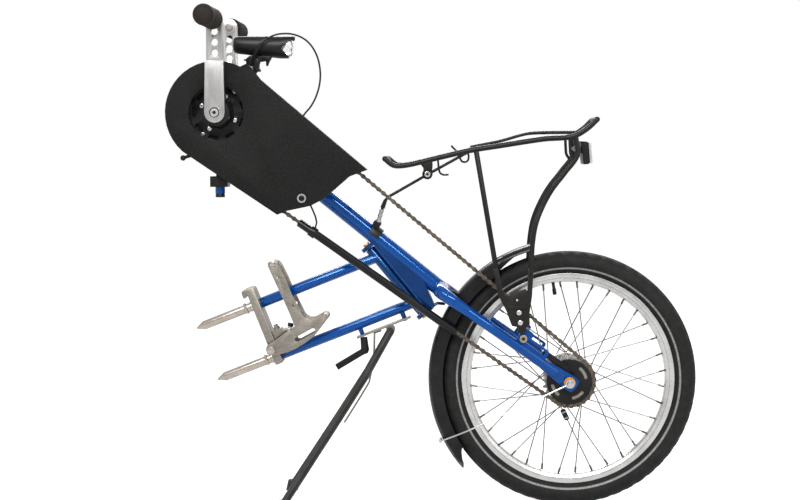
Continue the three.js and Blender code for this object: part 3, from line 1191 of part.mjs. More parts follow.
function lampBracket() {
  const inner = tilt.half + gap;
  const outer = inner + tilt.cheek;
  const cheeks = [-outer, inner].map((low) => (
    join(cross(tiltX, tiltZ, low, low + tilt.cheek, tilt.radius, 10),
      flat(V(tiltX, 0, tiltZ), V(tiltX, 0, tiltZ - tilt.drop), tilt.cheekDeep, low, low + tilt.cheek))));
  const bridgeZ = tiltZ - tilt.drop;
  const bridge = flat(V(tiltX - tilt.bridge, 0, bridgeZ), V(tiltX + tilt.bridge, 0, bridgeZ),
    tilt.bridgeThick, -outer, outer);
  const top = V(tiltX - bracketFoot.from, 0, tiltZ - bracketFoot.drop);
  const foot = V(crankX + bracketFoot.ahead, 0, crankZ + bracketFoot.rise);
  const column = flat(top, foot, bracketFoot.wide, -bracketFoot.half, bracketFoot.half);
  const shellRoom = cross(crankX, crankZ, -shell.half, shell.half, shell.radius + gap * 2, 16);
  return cut(join(cheeks, bridge, column), shellRoom);
}
piece('headlight_bracket', lampBracket(), black);

// Headlight cable: from the lamp's base in a free bow down behind the guard's upper edge.
// Its line is given from the crank axle in shares of the guard's radius.
const cable = { radius: 1.6, steps: 26, sides: 6 };
const cableShares = [
  [0.5758, -0.0939, 0.9495], [0.6061, -0.1313, 1.0404], [0.6768, -0.202, 1.1717],
  [0.7677, -0.2172, 1.303], [0.8788, -0.2172, 1.4242], [1.0606, -0.2172, 1.5253],
  [1.2525, -0.2172, 1.5556], [1.4545, -0.2121, 1.5354], [1.6566, -0.202, 1.4444],
  [1.798, -0.1919, 1.303], [1.9091, -0.1818, 1.0808], [1.9596, -0.1919, 0.8081],
  [1.9495, -0.2222, 0.5758], [1.8889, -0.3333, 0.3232], [1.798, -0.4848, 0.1212], [1.7071, -0.5848, 0],
  [1.6263, -0.5859, -0.1111], [1.5556, -0.601, -0.202],
];
const cableLine = cableShares.map(([a, y, b]) => V(crankX + a * guardRadius, y * guardRadius,
  crankZ + b * guardRadius));
piece('light_cable', bentBar(cableLine, cable.radius, cable.steps, cable.sides), black);

// Stand: a thin rail under the lower arm, two splayed legs, and a sprung strap between them
const rail = { thick: 4, half: 12, over: 12 };
const legs = {
  along: 48, pivotDrop: 11, ear: 8, earThick: 4, pin: 4, half: 7.8, inner: 13.5, outer: 27.6,
  footBack: 208.0981, footY: 92, padHalf: 13, padHigh: 21, kneeShare: 0.205, kneeAhead: 5,
};
const railPoint = (along, drop, y = 0) => armPoint(lowerArm, along, -drop, y);
const railDrop = lug.drop + gap + rail.thick / 2;
const [legX, legZ] = flatPoint(railPoint(legs.along, railDrop + legs.pivotDrop));
function standRail() {
  const body = flat(railPoint(lug.first + rail.over, railDrop), railPoint(lug.second - rail.over, railDrop),
    rail.thick, -rail.half, rail.half);
  const root = railPoint(legs.along, railDrop);
  const ears = [-rail.half, rail.half - legs.earThick].map((low) => (
    join(cross(legX, legZ, low, low + legs.earThick, legs.ear, 12),
      flat(V(legX, 0, legZ), root, legs.ear * 1.6, low, low + legs.earThick))));
  const hole = cross(legX, legZ, -rail.half * 2, rail.half * 2, legs.pin + gap, 10);
  return cut(join(body, ears), hole);
}
piece('stand_rail', standRail(), steel);
function standLegs() {
  const pin = cross(legX, legZ, -legs.outer + weld, legs.outer - weld, legs.pin, 10);
  const sides = [-1, 1].map((side) => {
    const top = V(legX, side * (legs.inner + legs.half), legZ);
    const foot = V(legX - legs.footBack, side * legs.footY, legs.padHalf / 2);
    const knee = top.clone().lerp(foot, legs.kneeShare).add(V(legs.kneeAhead, 0, 0));
    const tube = bentBar([top, knee, foot], legs.half, 4, 8);
    const eye = cross(legX, legZ, ...onSide(side, legs.inner, legs.outer), legs.half, 10);
    const pad = bar(V(foot.x, foot.y, 0), V(foot.x, foot.y, legs.padHigh), legs.padHalf, legs.half, 10);
    const under = boxAt(foot.x, -legs.padHalf, legs.footY, legs.padHalf * 2, -legs.footY * 2,
      legs.footY * 2);
    const clearRail = boxAt(legX, legZ, legs.half * 6, legs.half * 6, -legs.inner, legs.inner);
    return cut(join(tube, eye, pad), under, clearRail);
  });
  return join(pin, sides);
}
piece('stand_legs', standLegs(), black);

// Clamp lever: a screw through the first lug's boss with a cranked, flat plastic handle
const clampLever = {
  seat: 2, kneeAhead: 2.5, kneeDrop: 25.7, reach: 56, tipDrop: 34, radius: 7, kneeRadius: 8.4,
  tipHalf: 5.5, tipDeep: 12,
};
function clampHandle() {
  const top = railPoint(lug.first, railDrop + rail.thick / 2 + gap + clampLever.seat);
  const knee = V(top.x + clampLever.kneeAhead, 0, top.z - clampLever.kneeDrop);
  const tip = V(knee.x - clampLever.reach, 0, knee.z - clampLever.tipDrop);
  const stem = bar(top, knee, clampLever.radius, clampLever.kneeRadius, 12);
  const ball = new THREE.SphereGeometry(clampLever.kneeRadius, 8, 5);
  ball.translate(...knee.toArray());
  return join(stem, solid(ball), flat(knee, tip, clampLever.tipDeep, -clampLever.tipHalf,
    clampLever.tipHalf));
}
piece('stand_clamp_lever', clampHandle(), black);

// Bent strap that pulls the legs up under the arm; its line is given from the legs' pin in shares of its
// length
const strap = { half: 7, thick: 3.6, from: 66, to: 80, length: 188 };
const strapShares = [[-0.1761, -0.2227], [-0.2026, -0.4249], [-0.2292, -0.5525], [-0.3303, -0.7227],
  [-0.4899, -0.9781]];
function standStrap() {
  const under = railDrop + rail.thick / 2 + gap + strap.thick / 2;
  const line = [railPoint(strap.from, under), railPoint(strap.to, under)].map(flatPoint);
  const hanging = strapShares.map(([a, b]) => [legX + a * strap.length, legZ + b * strap.length]);
  return ribbon([...line, ...hanging], strap.thick, -strap.half, strap.half);
}
piece('stand_strap', standStrap(), steel);
export default part;
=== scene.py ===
"""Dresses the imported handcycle: finishes, fine shapes, studio floor, lights and camera.

Shapes are given in millimetres in the row frame, and MM brings them to metres.
"""
import json
import math
import bpy
import bmesh
from mathutils import Matrix, Vector


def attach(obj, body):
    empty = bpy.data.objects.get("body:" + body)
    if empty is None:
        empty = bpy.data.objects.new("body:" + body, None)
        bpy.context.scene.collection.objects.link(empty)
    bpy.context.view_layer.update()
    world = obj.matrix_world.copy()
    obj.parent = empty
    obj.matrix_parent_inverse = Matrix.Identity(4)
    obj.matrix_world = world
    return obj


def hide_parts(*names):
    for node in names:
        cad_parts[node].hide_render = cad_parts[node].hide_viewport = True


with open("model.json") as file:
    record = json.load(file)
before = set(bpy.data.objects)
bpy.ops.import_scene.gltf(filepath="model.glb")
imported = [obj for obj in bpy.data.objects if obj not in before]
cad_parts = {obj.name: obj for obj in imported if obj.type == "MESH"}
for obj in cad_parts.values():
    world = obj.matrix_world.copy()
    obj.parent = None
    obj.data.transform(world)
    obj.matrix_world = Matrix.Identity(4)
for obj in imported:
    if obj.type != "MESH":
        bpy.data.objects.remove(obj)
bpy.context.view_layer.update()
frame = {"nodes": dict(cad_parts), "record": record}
nodes = frame["nodes"]
slot_of_node = {part["node"]: part["material_slot"] for part in frame["record"]["subparts"]}
MM = 0.001

# Places and sizes of the drive and the wheel
SHIFT = 263.5
CRANK, CRANK_LENGTH, CRANK_FACE = (-678 + SHIFT, 768), 175, 100
AXLE = (SHIFT, 250)
CROWN = (-250 + SHIFT, 424)
CHAIN_Y, PITCH, RING_TEETH, COG_TEETH = -45, 12.7, 42, 24
GRIP_LENGTH = 113
TYRE_RADIUS, TYRE_HALF = 250, 23.5
RIM_OUTER, RIM_INNER, RIM_DEEP, RIM_HALF = 207.5, 196, 189.5, 12.5
TUBE_RADIUS = 16


def with_values(thing, **values):
    for key, value in values.items():
        setattr(thing, key, value)
    return thing


def add_object(name, data):
    obj = bpy.data.objects.new(name, data)
    bpy.context.scene.collection.objects.link(obj)
    return obj


# Camera, as fitted to the photograph; its turns are in radians
CAMERA_AT = (68.3, -2938.5, 703.3)
CAMERA_YAW, CAMERA_PITCH = 0.0458, 0.0688
LENS, SENSOR_WIDTH, FAR_CLIP = 67.5, 36, 100
camera = add_object("camera", with_values(
    bpy.data.cameras.new("camera"), lens=LENS, sensor_width=SENSOR_WIDTH, clip_end=FAR_CLIP))
camera.location = Vector(CAMERA_AT) * MM
look = Vector((-math.sin(CAMERA_YAW) * math.cos(CAMERA_PITCH),
               math.cos(CAMERA_YAW) * math.cos(CAMERA_PITCH), -math.sin(CAMERA_PITCH)))
camera.rotation_euler = look.to_track_quat("-Z", "Y").to_euler()
bpy.context.scene.camera = camera


# Materials; their scales are per metre and their bump distances in metres
class Graph:
    """A material's node tree, with short ways to add what the finishes here need."""

    def __init__(self, name):
        self.material = bpy.data.materials.new(name)
        self.material.use_nodes = True
        self.tree = self.material.node_tree
        self.shader = self.tree.nodes["Principled BSDF"]
        self.place = self.add("ShaderNodeTexCoord").outputs["Object"]

    def add(self, kind, **values):
        return with_values(self.tree.nodes.new(kind), **values)

    def put(self, socket, value):
        """Links a socket to another, or sets a number or a colour of three numbers on it."""
        if isinstance(value, bpy.types.NodeSocket):
            self.tree.links.new(value, socket)
        else:
            socket.default_value = (*value, 1) if isinstance(value, tuple) else value

    def fill(self, node, **inputs):
        """Puts values on a node's inputs by name, with _ for a space."""
        for name, value in inputs.items():
            self.put(node.inputs[name.replace("_", " ")], value)

    def scaled(self, scale):
        node = self.add("ShaderNodeMapping")
        node.inputs["Scale"].default_value = scale
        self.fill(node, Vector=self.place)
        return node.outputs["Vector"]

    def noise(self, scale, detail=4, rough=0.55, vector=None):
        node = self.add("ShaderNodeTexNoise")
        self.fill(node, Scale=scale, Detail=detail, Roughness=rough, Vector=vector or self.place)
        return node.outputs["Fac"]

    def cells(self, scale, feature="F1"):
        node = self.add("ShaderNodeTexVoronoi", feature=feature)
        self.fill(node, Scale=scale, Vector=self.place)
        return node.outputs["Distance"]

    def ramp(self, value, *stops):
        """Greys by a value; stops are (value, grey)."""
        node = self.add("ShaderNodeValToRGB")
        elements = node.color_ramp.elements
        while len(elements) < len(stops):
            elements.new(0.5)
        for element, (at, grey) in zip(elements, stops):
            element.position = at
            element.color = (grey, grey, grey, 1)
        self.fill(node, Fac=value)
        return node.outputs["Color"]

    def patches(self, scale, detail, rough, low, high):
        """Noise stretched to go from 0 at low to 1 at high."""
        return self.ramp(self.noise(scale, detail, rough), (low, 0), (high, 1))

    def mix(self, share, a, b):
        node = self.add("ShaderNodeMix", data_type="RGBA")
        for index, value in ((0, share), (6, a), (7, b)):
            self.put(node.inputs[index], value)
        return node.outputs[2]

    def math(self, kind, a, b=0):
        node = self.add("ShaderNodeMath", operation=kind)
        for socket, value in zip(node.inputs, (a, b)):
            self.put(socket, value)
        return node.outputs[0]

    def line(self, value, slope, start):
        return self.math("ADD", self.math("MULTIPLY", value, slope), start)

    def bump(self, height, distance, strength, under=None):
        node = self.add("ShaderNodeBump")
        self.fill(node, Distance=distance, Strength=strength, Height=height)
        if under:
            self.fill(node, Normal=under)
        return node.outputs["Normal"]

    def finish(self, colour, rough, normal, **plain):
        self.fill(self.shader, Base_Color=colour, Roughness=rough, Normal=normal, **plain)
        return self.material


def paint(name, dark, light, rough, fleck=0):
    """Glossy enamel over a slightly uneven coat, with faint scuffs and, if asked, flecks."""
    g = Graph(name)
    tone = g.mix(g.patches(9, 3, 0.55, 0.35, 0.7), dark, light)
    if fleck:
        sparkle = g.ramp(g.cells(2600), (0, 1), (0.25, 0))
        bright = tuple(min(1, c * 2.2 + 0.04) for c in light)
        tone = g.mix(g.math("MULTIPLY", sparkle, fleck), tone, bright)
    scuffs = g.patches(60, 6, 0.6, 0.5, 0.8)
    skin = g.bump(g.noise(70, 1), 0.00002, 0.25)
    return g.finish(tone, g.line(scuffs, 0.05, rough), skin, Coat_Weight=0.3,
                    Coat_Roughness=0.03, Specular_IOR_Level=0.5, Specular_Tint=(0.07, 0.42, 1))


def satin(name, dark, light, rough, grain=900, depth=0.00006):
    """Powder-coated or moulded surface: fine orange peel and worn, paler patches."""
    g = Graph(name)
    tone = g.mix(g.patches(24, 8, 0.65, 0.42, 0.72), dark, light)
    roughness = g.line(g.noise(70, 5), 0.25, rough - 0.12)
    fine = g.bump(g.noise(grain, 3), depth, 0.8)
    return g.finish(tone, roughness, fine, Specular_IOR_Level=0.18)


def brushed(name, dark, light, rough, scale=(30, 30, 900), depth=0.00003):
    """Metal with fine lines along one direction and a few darker marks."""
    g = Graph(name)
    lines = g.noise(1, 6, 0.7, g.scaled(scale))
    marks = g.ramp(g.noise(38, 7, 0.65), (0.3, 1), (0.55, 0))
    tone = g.mix(g.ramp(lines, (0.3, 0), (0.7, 1)), dark, light)
    tone = g.mix(g.math("MULTIPLY", marks, 0.35), tone, tuple(c * 0.55 for c in dark))
    fine = g.bump(lines, depth, 0.6)
    return g.finish(tone, g.line(lines, 0.22, rough - 0.08), fine, Metallic=1)


def rubbery(name, dark, light, rough=0.72, grain=700, depth=0.00012):
    """Matt rubber: dusty mottling and a fine pebble."""
    g = Graph(name)
    dust = g.patches(46, 8, 0.7, 0.45, 0.8)
    return g.finish(g.mix(dust, dark, light), g.line(dust, 0.15, rough),
                    g.bump(g.noise(grain, 4), depth, 0.7), Specular_IOR_Level=0.18)


def leatherette(name, dark, light):
    """Moulded guard plastic with a leather-like grain of small cells; the raised cells get a
    painted sheen in random patches, which leaves the creases between them darker.
    """
    g = Graph(name)
    pebble = g.ramp(g.cells(430, "DISTANCE_TO_EDGE"), (0, 0), (0.2, 1))
    tone = g.mix(g.patches(14, 6, 0.6, 0.4, 0.75), dark, light)
    # Painted sheen: raised cells lighter in random patches, creases between them left darker
    grain_sheen_and_crease_shade = g.math("MULTIPLY", pebble, g.patches(300, 2, 0.6, 0.35, 0.7))
    tone = g.mix(g.math("MULTIPLY", grain_sheen_and_crease_shade, 0.6), tone, tuple(c * 2.6 for c in light))
    fine = g.bump(g.noise(2400, 2), 0.00003, 0.5, g.bump(pebble, 0.0003, 0.8))
    return g.finish(tone, g.line(pebble, -0.12, 0.62), fine, Specular_IOR_Level=0.1)


def tyre_rubber(name):
    """Tyre: matt tread, smoother sidewall with moulded rings and a pale reflective ring."""
    g = Graph(name)
    split = g.add("ShaderNodeSeparateXYZ")
    g.put(split.inputs[0], g.place)
    squares = []
    for axis, centre in zip("XZ", AXLE):
        away = g.math("SUBTRACT", split.outputs[axis], centre * MM)
        squares.append(g.math("MULTIPLY", away, away))
    radius = g.math("SQRT", g.math("ADD", *squares))
    share = g.math("DIVIDE", radius, TYRE_RADIUS * MM)
    band = g.ramp(share, (0, 0), (0.8625, 0), (0.864, 1), (0.8745, 1), (0.876, 0))
    dust = g.patches(60, 8, 0.7, 0.45, 0.8)
    base = g.mix(dust, (0.014, 0.0135, 0.013), (0.03, 0.029, 0.028))
    weave = g.math("MULTIPLY", g.ramp(g.noise(340, 3), (0.3, 0.4), (0.7, 1)), band)
    tone = g.mix(weave, base, (0.5, 0.51, 0.5))
    rings = g.math("MULTIPLY", g.math("SINE", g.math("MULTIPLY", radius, 5200)), 0.5)
    fine = g.bump(g.noise(1100, 4), 0.0001, 0.6, g.bump(rings, 0.00008, 0.35))
    roughness = g.math("SUBTRACT", 0.72, g.math("MULTIPLY", band, 0.35))
    return g.finish(tone, roughness, fine, Specular_IOR_Level=0.15)


def chain_metal(name):
    """Oiled chain: brown-grey steel with darker grease in patches."""
    g = Graph(name)
    worn = g.patches(120, 6, 0.7, 0.35, 0.65)
    tone = g.mix(worn, (0.03, 0.024, 0.018), (0.15, 0.122, 0.095))
    fine = g.bump(g.noise(1600, 4), 0.00003, 0.6)
    return g.finish(tone, g.line(worn, -0.16, 0.5), fine, Metallic=0.85)


def glass(name):
    """Clear lamp lens with fine upright flutes."""
    g = Graph(name)
    flutes = g.bump(g.noise(1, 1, 0.5, g.scaled((60, 900, 60))), 0.0004, 0.4)
    return g.finish((0.93, 0.95, 0.96), 0.06, flutes, Transmission_Weight=0.85, IOR=1.49)


# Finish, darker and lighter colour, roughness, and what else the finish takes
FINISHES = {
    "blue_paint": (paint, (0, 0.05, 0.27), (0, 0.07, 0.35), 0.13, 0.03),
    "navy_paint": (paint, (0, 0.02, 0.115), (0.002, 0.032, 0.165), 0.18),
    "light_blue_paint": (paint, (0.001, 0.036, 0.15), (0.002, 0.056, 0.2), 0.16),
    "guard_plastic": (leatherette, (0.0075, 0.007, 0.0068), (0.0125, 0.012, 0.0115)),
    "black_metal": (satin, (0.006, 0.006, 0.006), (0.02, 0.0195, 0.019), 0.38),
    "aluminium": (brushed, (0.27, 0.266, 0.262), (0.45, 0.446, 0.438), 0.28, (900, 900, 14)),
    "steel": (brushed, (0.34, 0.34, 0.34), (0.54, 0.54, 0.54), 0.26),
    "chainring_steel": (brushed, (0.1, 0.095, 0.09), (0.24, 0.23, 0.22), 0.4, (220, 220, 220)),
    "grip_rubber": (rubbery, (0.016, 0.0115, 0.009), (0.04, 0.03, 0.023)),
    "tyre": (tyre_rubber,),
    "rim_aluminium": (brushed, (0.43, 0.425, 0.42), (0.52, 0.515, 0.51), 0.24, (16, 16, 16),
                      0.00001),
    "orange_plastic": (satin, (0.8, 0.28, 0.01), (0.95, 0.4, 0.02), 0.4),
    "bronze": (brushed, (0.24, 0.15, 0.07), (0.45, 0.31, 0.17), 0.32),
    "chain_steel": (chain_metal,),
    "brass": (brushed, (0.33, 0.22, 0.07), (0.6, 0.43, 0.16), 0.3),
    "pin_steel": (brushed, (0.33, 0.293, 0.255), (0.46, 0.415, 0.37), 0.2, (24, 24, 24), 0.00001),
    "warm_steel": (brushed, (0.165, 0.152, 0.132), (0.27, 0.247, 0.216), 0.4, (90, 90, 700)),
    "rack_metal": (satin, (0.008, 0.0072, 0.0066), (0.02, 0.018, 0.016), 0.4),
    "black_plastic": (satin, (0.007, 0.007, 0.007), (0.018, 0.0175, 0.017), 0.36, 1400),
    "tube_plastic": (satin, (0.006, 0.006, 0.007), (0.016, 0.016, 0.017), 0.24, 300, 0.00002),
    "clear_plastic": (glass,),
    "cable_rubber": (rubbery, (0.006, 0.006, 0.006), (0.014, 0.014, 0.014), 0.5, 1800, 0.00004),
    "leg_metal": (satin, (0.022, 0.021, 0.02), (0.05, 0.048, 0.046), 0.46),
}
SLOTS = {slot: finish(slot.replace("_", " "), *values)
         for slot, (finish, *values) in FINISHES.items()}

# Mesh helpers
SHARP_ANGLE, BEVEL_ANGLE, FLAT_ANGLE = math.radians(36), math.radians(38), math.radians(0.4)
WELD_GAP = 0.00001

# Geometry nodes: smooth shading that keeps edges over SHARP_ANGLE sharp
SMOOTH = bpy.data.node_groups.new("smooth by angle", "GeometryNodeTree")
for way in ("INPUT", "OUTPUT"):
    SMOOTH.interface.new_socket("Geometry", in_out=way, socket_type="NodeSocketGeometry")
add = SMOOTH.nodes.new
start, end = add("NodeGroupInput"), add("NodeGroupOutput")
angle = add("GeometryNodeInputMeshEdgeAngle")
compare = with_values(add("FunctionNodeCompare"), operation="GREATER_THAN")
compare.inputs[1].default_value = SHARP_ANGLE
store = with_values(add("GeometryNodeStoreNamedAttribute"), data_type="BOOLEAN", domain="EDGE")
store.inputs["Name"].default_value = "sharp_edge"
smooth = add("GeometryNodeSetShadeSmooth")
sharp = next(s for s in store.inputs if s.name == "Value" and s.enabled)
for source, target in (
        (start.outputs[0], store.inputs["Geometry"]),
        (angle.outputs["Unsigned Angle"], compare.inputs[0]), (compare.outputs[0], sharp),
        (store.outputs[0], smooth.inputs["Geometry"]), (smooth.outputs[0], end.inputs[0])):
    SMOOTH.links.new(source, target)


def soften(obj, width=0.5, segments=2, clean=False):
    """Rounded edges and smooth shading, without touching the mesh itself."""
    add = obj.modifiers.new
    if clean:
        with_values(add("weld", "WELD"), merge_threshold=WELD_GAP)
        with_values(add("flat", "DECIMATE"), decimate_type="DISSOLVE", angle_limit=FLAT_ANGLE)
    if width:
        with_values(add("edges", "BEVEL"), width=width * MM, segments=segments,
                    limit_method="ANGLE", angle_limit=BEVEL_ANGLE, harden_normals=False)
    with_values(add("smooth", "NODES"), node_group=SMOOTH)


def piece(name, bm, slot, body="frame", stands_for=(), width=0, segments=2):
    """Makes an object of a bmesh, finishes it and puts it on its body."""
    bmesh.ops.remove_doubles(bm, verts=bm.verts, dist=0.001)
    bmesh.ops.recalc_face_normals(bm, faces=bm.faces)
    mesh = bpy.data.meshes.new(name)
    bm.to_mesh(mesh)
    bm.free()
    mesh.transform(Matrix.Scale(MM, 4))
    obj = add_object(name, mesh)
    mesh.materials.append(SLOTS[slot])
    soften(obj, width, segments)
    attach(obj, body)
    if stands_for:
        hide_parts(*stands_for)
    return obj


def add_rings(bm, rings, closed=False):
    """Skins a list of equal rings of points, capped or, if closed, joined end to end."""
    loops = [[bm.verts.new(p) for p in ring] for ring in rings]
    pairs = list(zip(loops, loops[1:]))
    if closed:
        pairs.append((loops[-1], loops[0]))
    for a, b in pairs:
        for i in range(len(a)):
            j = (i + 1) % len(a)
            bm.faces.new((a[i], a[j], b[j], b[i]))
    if not closed:
        bm.faces.new(loops[0][::-1])
        bm.faces.new(loops[-1])
    return bm


def turns(steps):
    return [2 * math.pi * i / steps for i in range(steps)]


def add_revolved(bm, profile, x, z, steps=96):
    """Turns a closed profile of (radius, y) about a line across the machine."""
    return add_rings(bm, [[(x + r * math.cos(a), y, z + r * math.sin(a)) for r, y in profile]
                          for a in turns(steps)], closed=True)


def frame_along(points, i):
    before = Vector(points[max(i - 1, 0)])
    after = Vector(points[min(i + 1, len(points) - 1)])
    return (after - before).normalized()


def add_tube(bm, points, radius, sides=24):
    """A round rod along points; radius is one number, or one for each point."""
    side = frame_along(points, 0).orthogonal().normalized()
    rings = []
    for i, point in enumerate(points):
        along = frame_along(points, i)
        side = (side - along * side.dot(along)).normalized()
        up = along.cross(side)
        r = radius[i] if isinstance(radius, list) else radius
        rings.append([Vector(point) + side * (r * math.cos(a)) + up * (r * math.sin(a))
                      for a in turns(sides)])
    return add_rings(bm, rings)


def add_turned_rod(bm, start, way, profile, sides=20):
    """A straight rod from start; profile gives (distance along the way, radius)."""
    path = [start + way * along for along, _ in profile]
    return add_tube(bm, path, [r for _, r in profile], sides)


def blend(p, q, start, end, t):
    """From p at start to q at end."""
    return p * ((end - t) / (end - start)) + q * ((t - start) / (end - start))


def curve_through(points, per=8):
    """Centripetal curve through points, as the CAD bends its tubes."""
    pts = [Vector(p) for p in points]
    pts = [pts[0] * 2 - pts[1], *pts, pts[-1] * 2 - pts[-2]]
    out = []
    for i in range(1, len(pts) - 2):
        p0, p1, p2, p3 = pts[i - 1:i + 3]
        t1 = (p1 - p0).length ** 0.5
        t2 = t1 + (p2 - p1).length ** 0.5
        t3 = t2 + (p3 - p2).length ** 0.5
        for k in range(per):
            t = t1 + (t2 - t1) * k / per
            a1 = blend(p0, p1, 0, t1, t)
            a2 = blend(p1, p2, t1, t2, t)
            a3 = blend(p2, p3, t2, t3, t)
            out.append(blend(blend(a1, a2, 0, t2, t), blend(a2, a3, t1, t3, t), t1, t2, t))
    out.append(Vector(points[-1]))
    return out


def add_prism(bm, outline, *ends):
    """An upright outline of (x, z) points, between two values of y."""
    outline = list(outline)
    return add_rings(bm, [[(x, y, z) for x, z in outline] for y in sorted(ends)])


def band(inner, outer, low, high):
    """A ring's profile between two radii and two values of y."""
    return [(inner, low), (outer, low), (outer, high), (inner, high)]


def from_face(face, profile, way=-1):
    """A profile whose y is counted out from a face."""
    return [(r, face + way * out) for r, out in profile]


def turned(name, place, profile, slot, body="frame", steps=40, stands_for=()):
    """A turned part on a cross axis at a place (x, z)."""
    bm = add_revolved(bmesh.new(), profile, *place, steps)
    piece(name, bm, slot, body, stands_for)


def button(bm, place, y, radius, height, way=-1, socket=0.42, steps=32):
    """Button-head screw: domed rim round a deep socket, standing on the face at y."""
    hole = radius * socket
    shape = [(0.2, -0.4), (radius, -0.4), (radius, height * 0.35), (radius * 0.86, height * 0.8),
             (radius * 0.66, height), (hole, height), (hole * 0.92, height * 0.15),
             (0.2, height * 0.15)]
    return add_revolved(bm, from_face(y, shape, way), *place, steps)


def polar(centre, radius, degrees):
    a = math.radians(degrees)
    return centre[0] + radius * math.cos(a), centre[1] + radius * math.sin(a)


def heading(a, b):
    """The way from a to b, in degrees."""
    return math.degrees(math.atan2(b[1] - a[1], b[0] - a[0]))


def arc(centre, radius, start, end, steps):
    return [polar(centre, radius, start + (end - start) * i / steps) for i in range(steps + 1)]


def line_at(start, along, distance):
    return (start[0] + along[0] * distance, start[1] + along[1] * distance)


def unit(a, b):
    length = math.dist(a, b)
    return ((b[0] - a[0]) / length, (b[1] - a[1]) / length)


BEAD = RIM_OUTER + 0.4
TREAD_FROM = 0.35  # share of the casing's height where the tread begins


def tread_depth(i, y):
    """How deep the tread is cut at a step round the tyre and a place across it."""
    across = abs(y) / TYRE_HALF
    if 0.12 < across < 0.2:
        return 1.3
    if across >= 0.2 and (i + y * 0.16) % 6 < 2:
        return 1.5
    return 1.2 if 0.52 < across < 0.6 else 0


# Rounded casing with a raised centre rib and rows of slanted tread blocks
steps, sides, spread = 360, 26, 118
middle = (TYRE_RADIUS + RIM_OUTER) / 2
crown = TYRE_RADIUS - middle
shape = [(BEAD, -10.5), (BEAD + 3, -13.4)]
for a in [math.radians(spread * (2 * k / sides - 1)) for k in range(sides + 1)]:
    shape.append((middle + crown * math.cos(a), TYRE_HALF * math.sin(a)))
shape += [(BEAD + 3, 13.4), (BEAD, 10.5)]
rings = [[] for _ in range(steps)]
for i, ring in enumerate(rings):
    for r, y in shape:
        deep = tread_depth(i, y) if r > middle + crown * TREAD_FROM else 0
        x, z = polar(AXLE, r - deep, 360 / steps * i)
        ring.append((x, y, z))
bm = add_rings(bmesh.new(), rings, closed=True)
piece("tyre_casing", bm, "tyre", "wheel", ["tyre"])

# Rim: a deep box section with a step below the side walls that hold the bead
h = RIM_HALF
rim_half = [
    (RIM_DEEP - 0.6, 0), (RIM_DEEP, h * 0.34), (RIM_DEEP + 2.4, h * 0.66),
    (RIM_INNER + 1.8, h * 0.86), (RIM_INNER + 2.6, h * 0.97), (RIM_INNER + 5.5, h),
    (RIM_OUTER - 1.4, h), (RIM_OUTER - 0.3, h - 0.3), (RIM_OUTER - 0.2, h - 1.2),
    (RIM_OUTER - 1.6, h - 2), (RIM_OUTER - 4.5, h * 0.5), (RIM_OUTER - 5.2, 0),
]
turned("rim_section", AXLE, rim_half + [(r, -y) for r, y in rim_half[-2:0:-1]],
       "rim_aluminium", "wheel", 180, ["rim"])

# Hub shell: a flange at each end, a waisted barrel and a brake drum
HUB_NEAR, HUB_FAR, FLANGE, DRUM, BARREL = -35, 44, 44, 46, 24
near_end = ((7, 0), (17, 0), (18, -0.3), (FLANGE - 1, 0), (FLANGE, 1), (FLANGE, 2.4),
            (FLANGE - 1, 3.2), (BARREL + 6, 4.5), (BARREL + 1, 9), (BARREL, 14))
turned("hub_shell", AXLE, from_face(HUB_NEAR, near_end, 1) + [
    (BARREL, -4), (BARREL + 1.5, 2), (BARREL + 7, 12), (DRUM - 8, 24), (DRUM - 3.2, 29.5),
    (DRUM - 0.6, 30), (DRUM, 31), (DRUM, 42.6), (DRUM - 1.4, HUB_FAR), (26, HUB_FAR),
    (25, HUB_FAR - 2), (15, HUB_FAR - 2), (14, HUB_FAR), (7, HUB_FAR),
], "rim_aluminium", "wheel", 96, ["hub_and_spokes"])

SPOKES, SPOKE_RADIUS = 36, 1.15
SPOKE_LEAN = 50  # degrees that a spoke's foot is turned from its head


def spoke_line(i):
    """Both ends of a spoke, and the way it leans."""
    side = 1 if i % 2 else -1
    lean = 1 if (i // 2) % 2 else -1
    end = 360 / SPOKES * (i + 0.5)
    hx, hz = polar(AXLE, FLANGE - 3, end + lean * SPOKE_LEAN)
    rx, rz = polar(AXLE, RIM_DEEP - 0.5, end)
    hy = (HUB_NEAR + 1.6 if side < 0 else HUB_FAR - 7.2) + lean * 1.9
    return Vector((hx, hy, hz)), Vector((rx, side * 2.2, rz)), lean


# Crossed spokes with an elbow at the flange and a nipple at the rim
bm, nipples = bmesh.new(), bmesh.new()
for i in range(SPOKES):
    start, finish, lean = spoke_line(i)
    along = (finish - start).normalized()
    add_tube(bm, [start, finish], SPOKE_RADIUS, 8)
    add_turned_rod(nipples, finish, along, [(-11, 1.2), (-10, 2), (2, 2)], 8)
    elbow = [start - along * 1.2 - Vector((0, lean, 0)), start + along * 1.4]
    add_tube(bm, elbow, [1.9, 1.1], 8)
piece("spoke_nipples", nipples, "chain_steel", "wheel")
piece("spokes", bm, "chainring_steel", "wheel")


# Chain and chainring
def pitch_radius(teeth):
    return PITCH / 2 / math.sin(math.pi / teeth)


RING_R, COG_R = pitch_radius(RING_TEETH), pitch_radius(COG_TEETH)
drive_spread = math.degrees(math.asin((RING_R - COG_R) / math.dist(CRANK, AXLE)))
DRIVE_UPPER = 90 + heading(CRANK, AXLE) - drive_spread  # where the upper run leaves the chainring


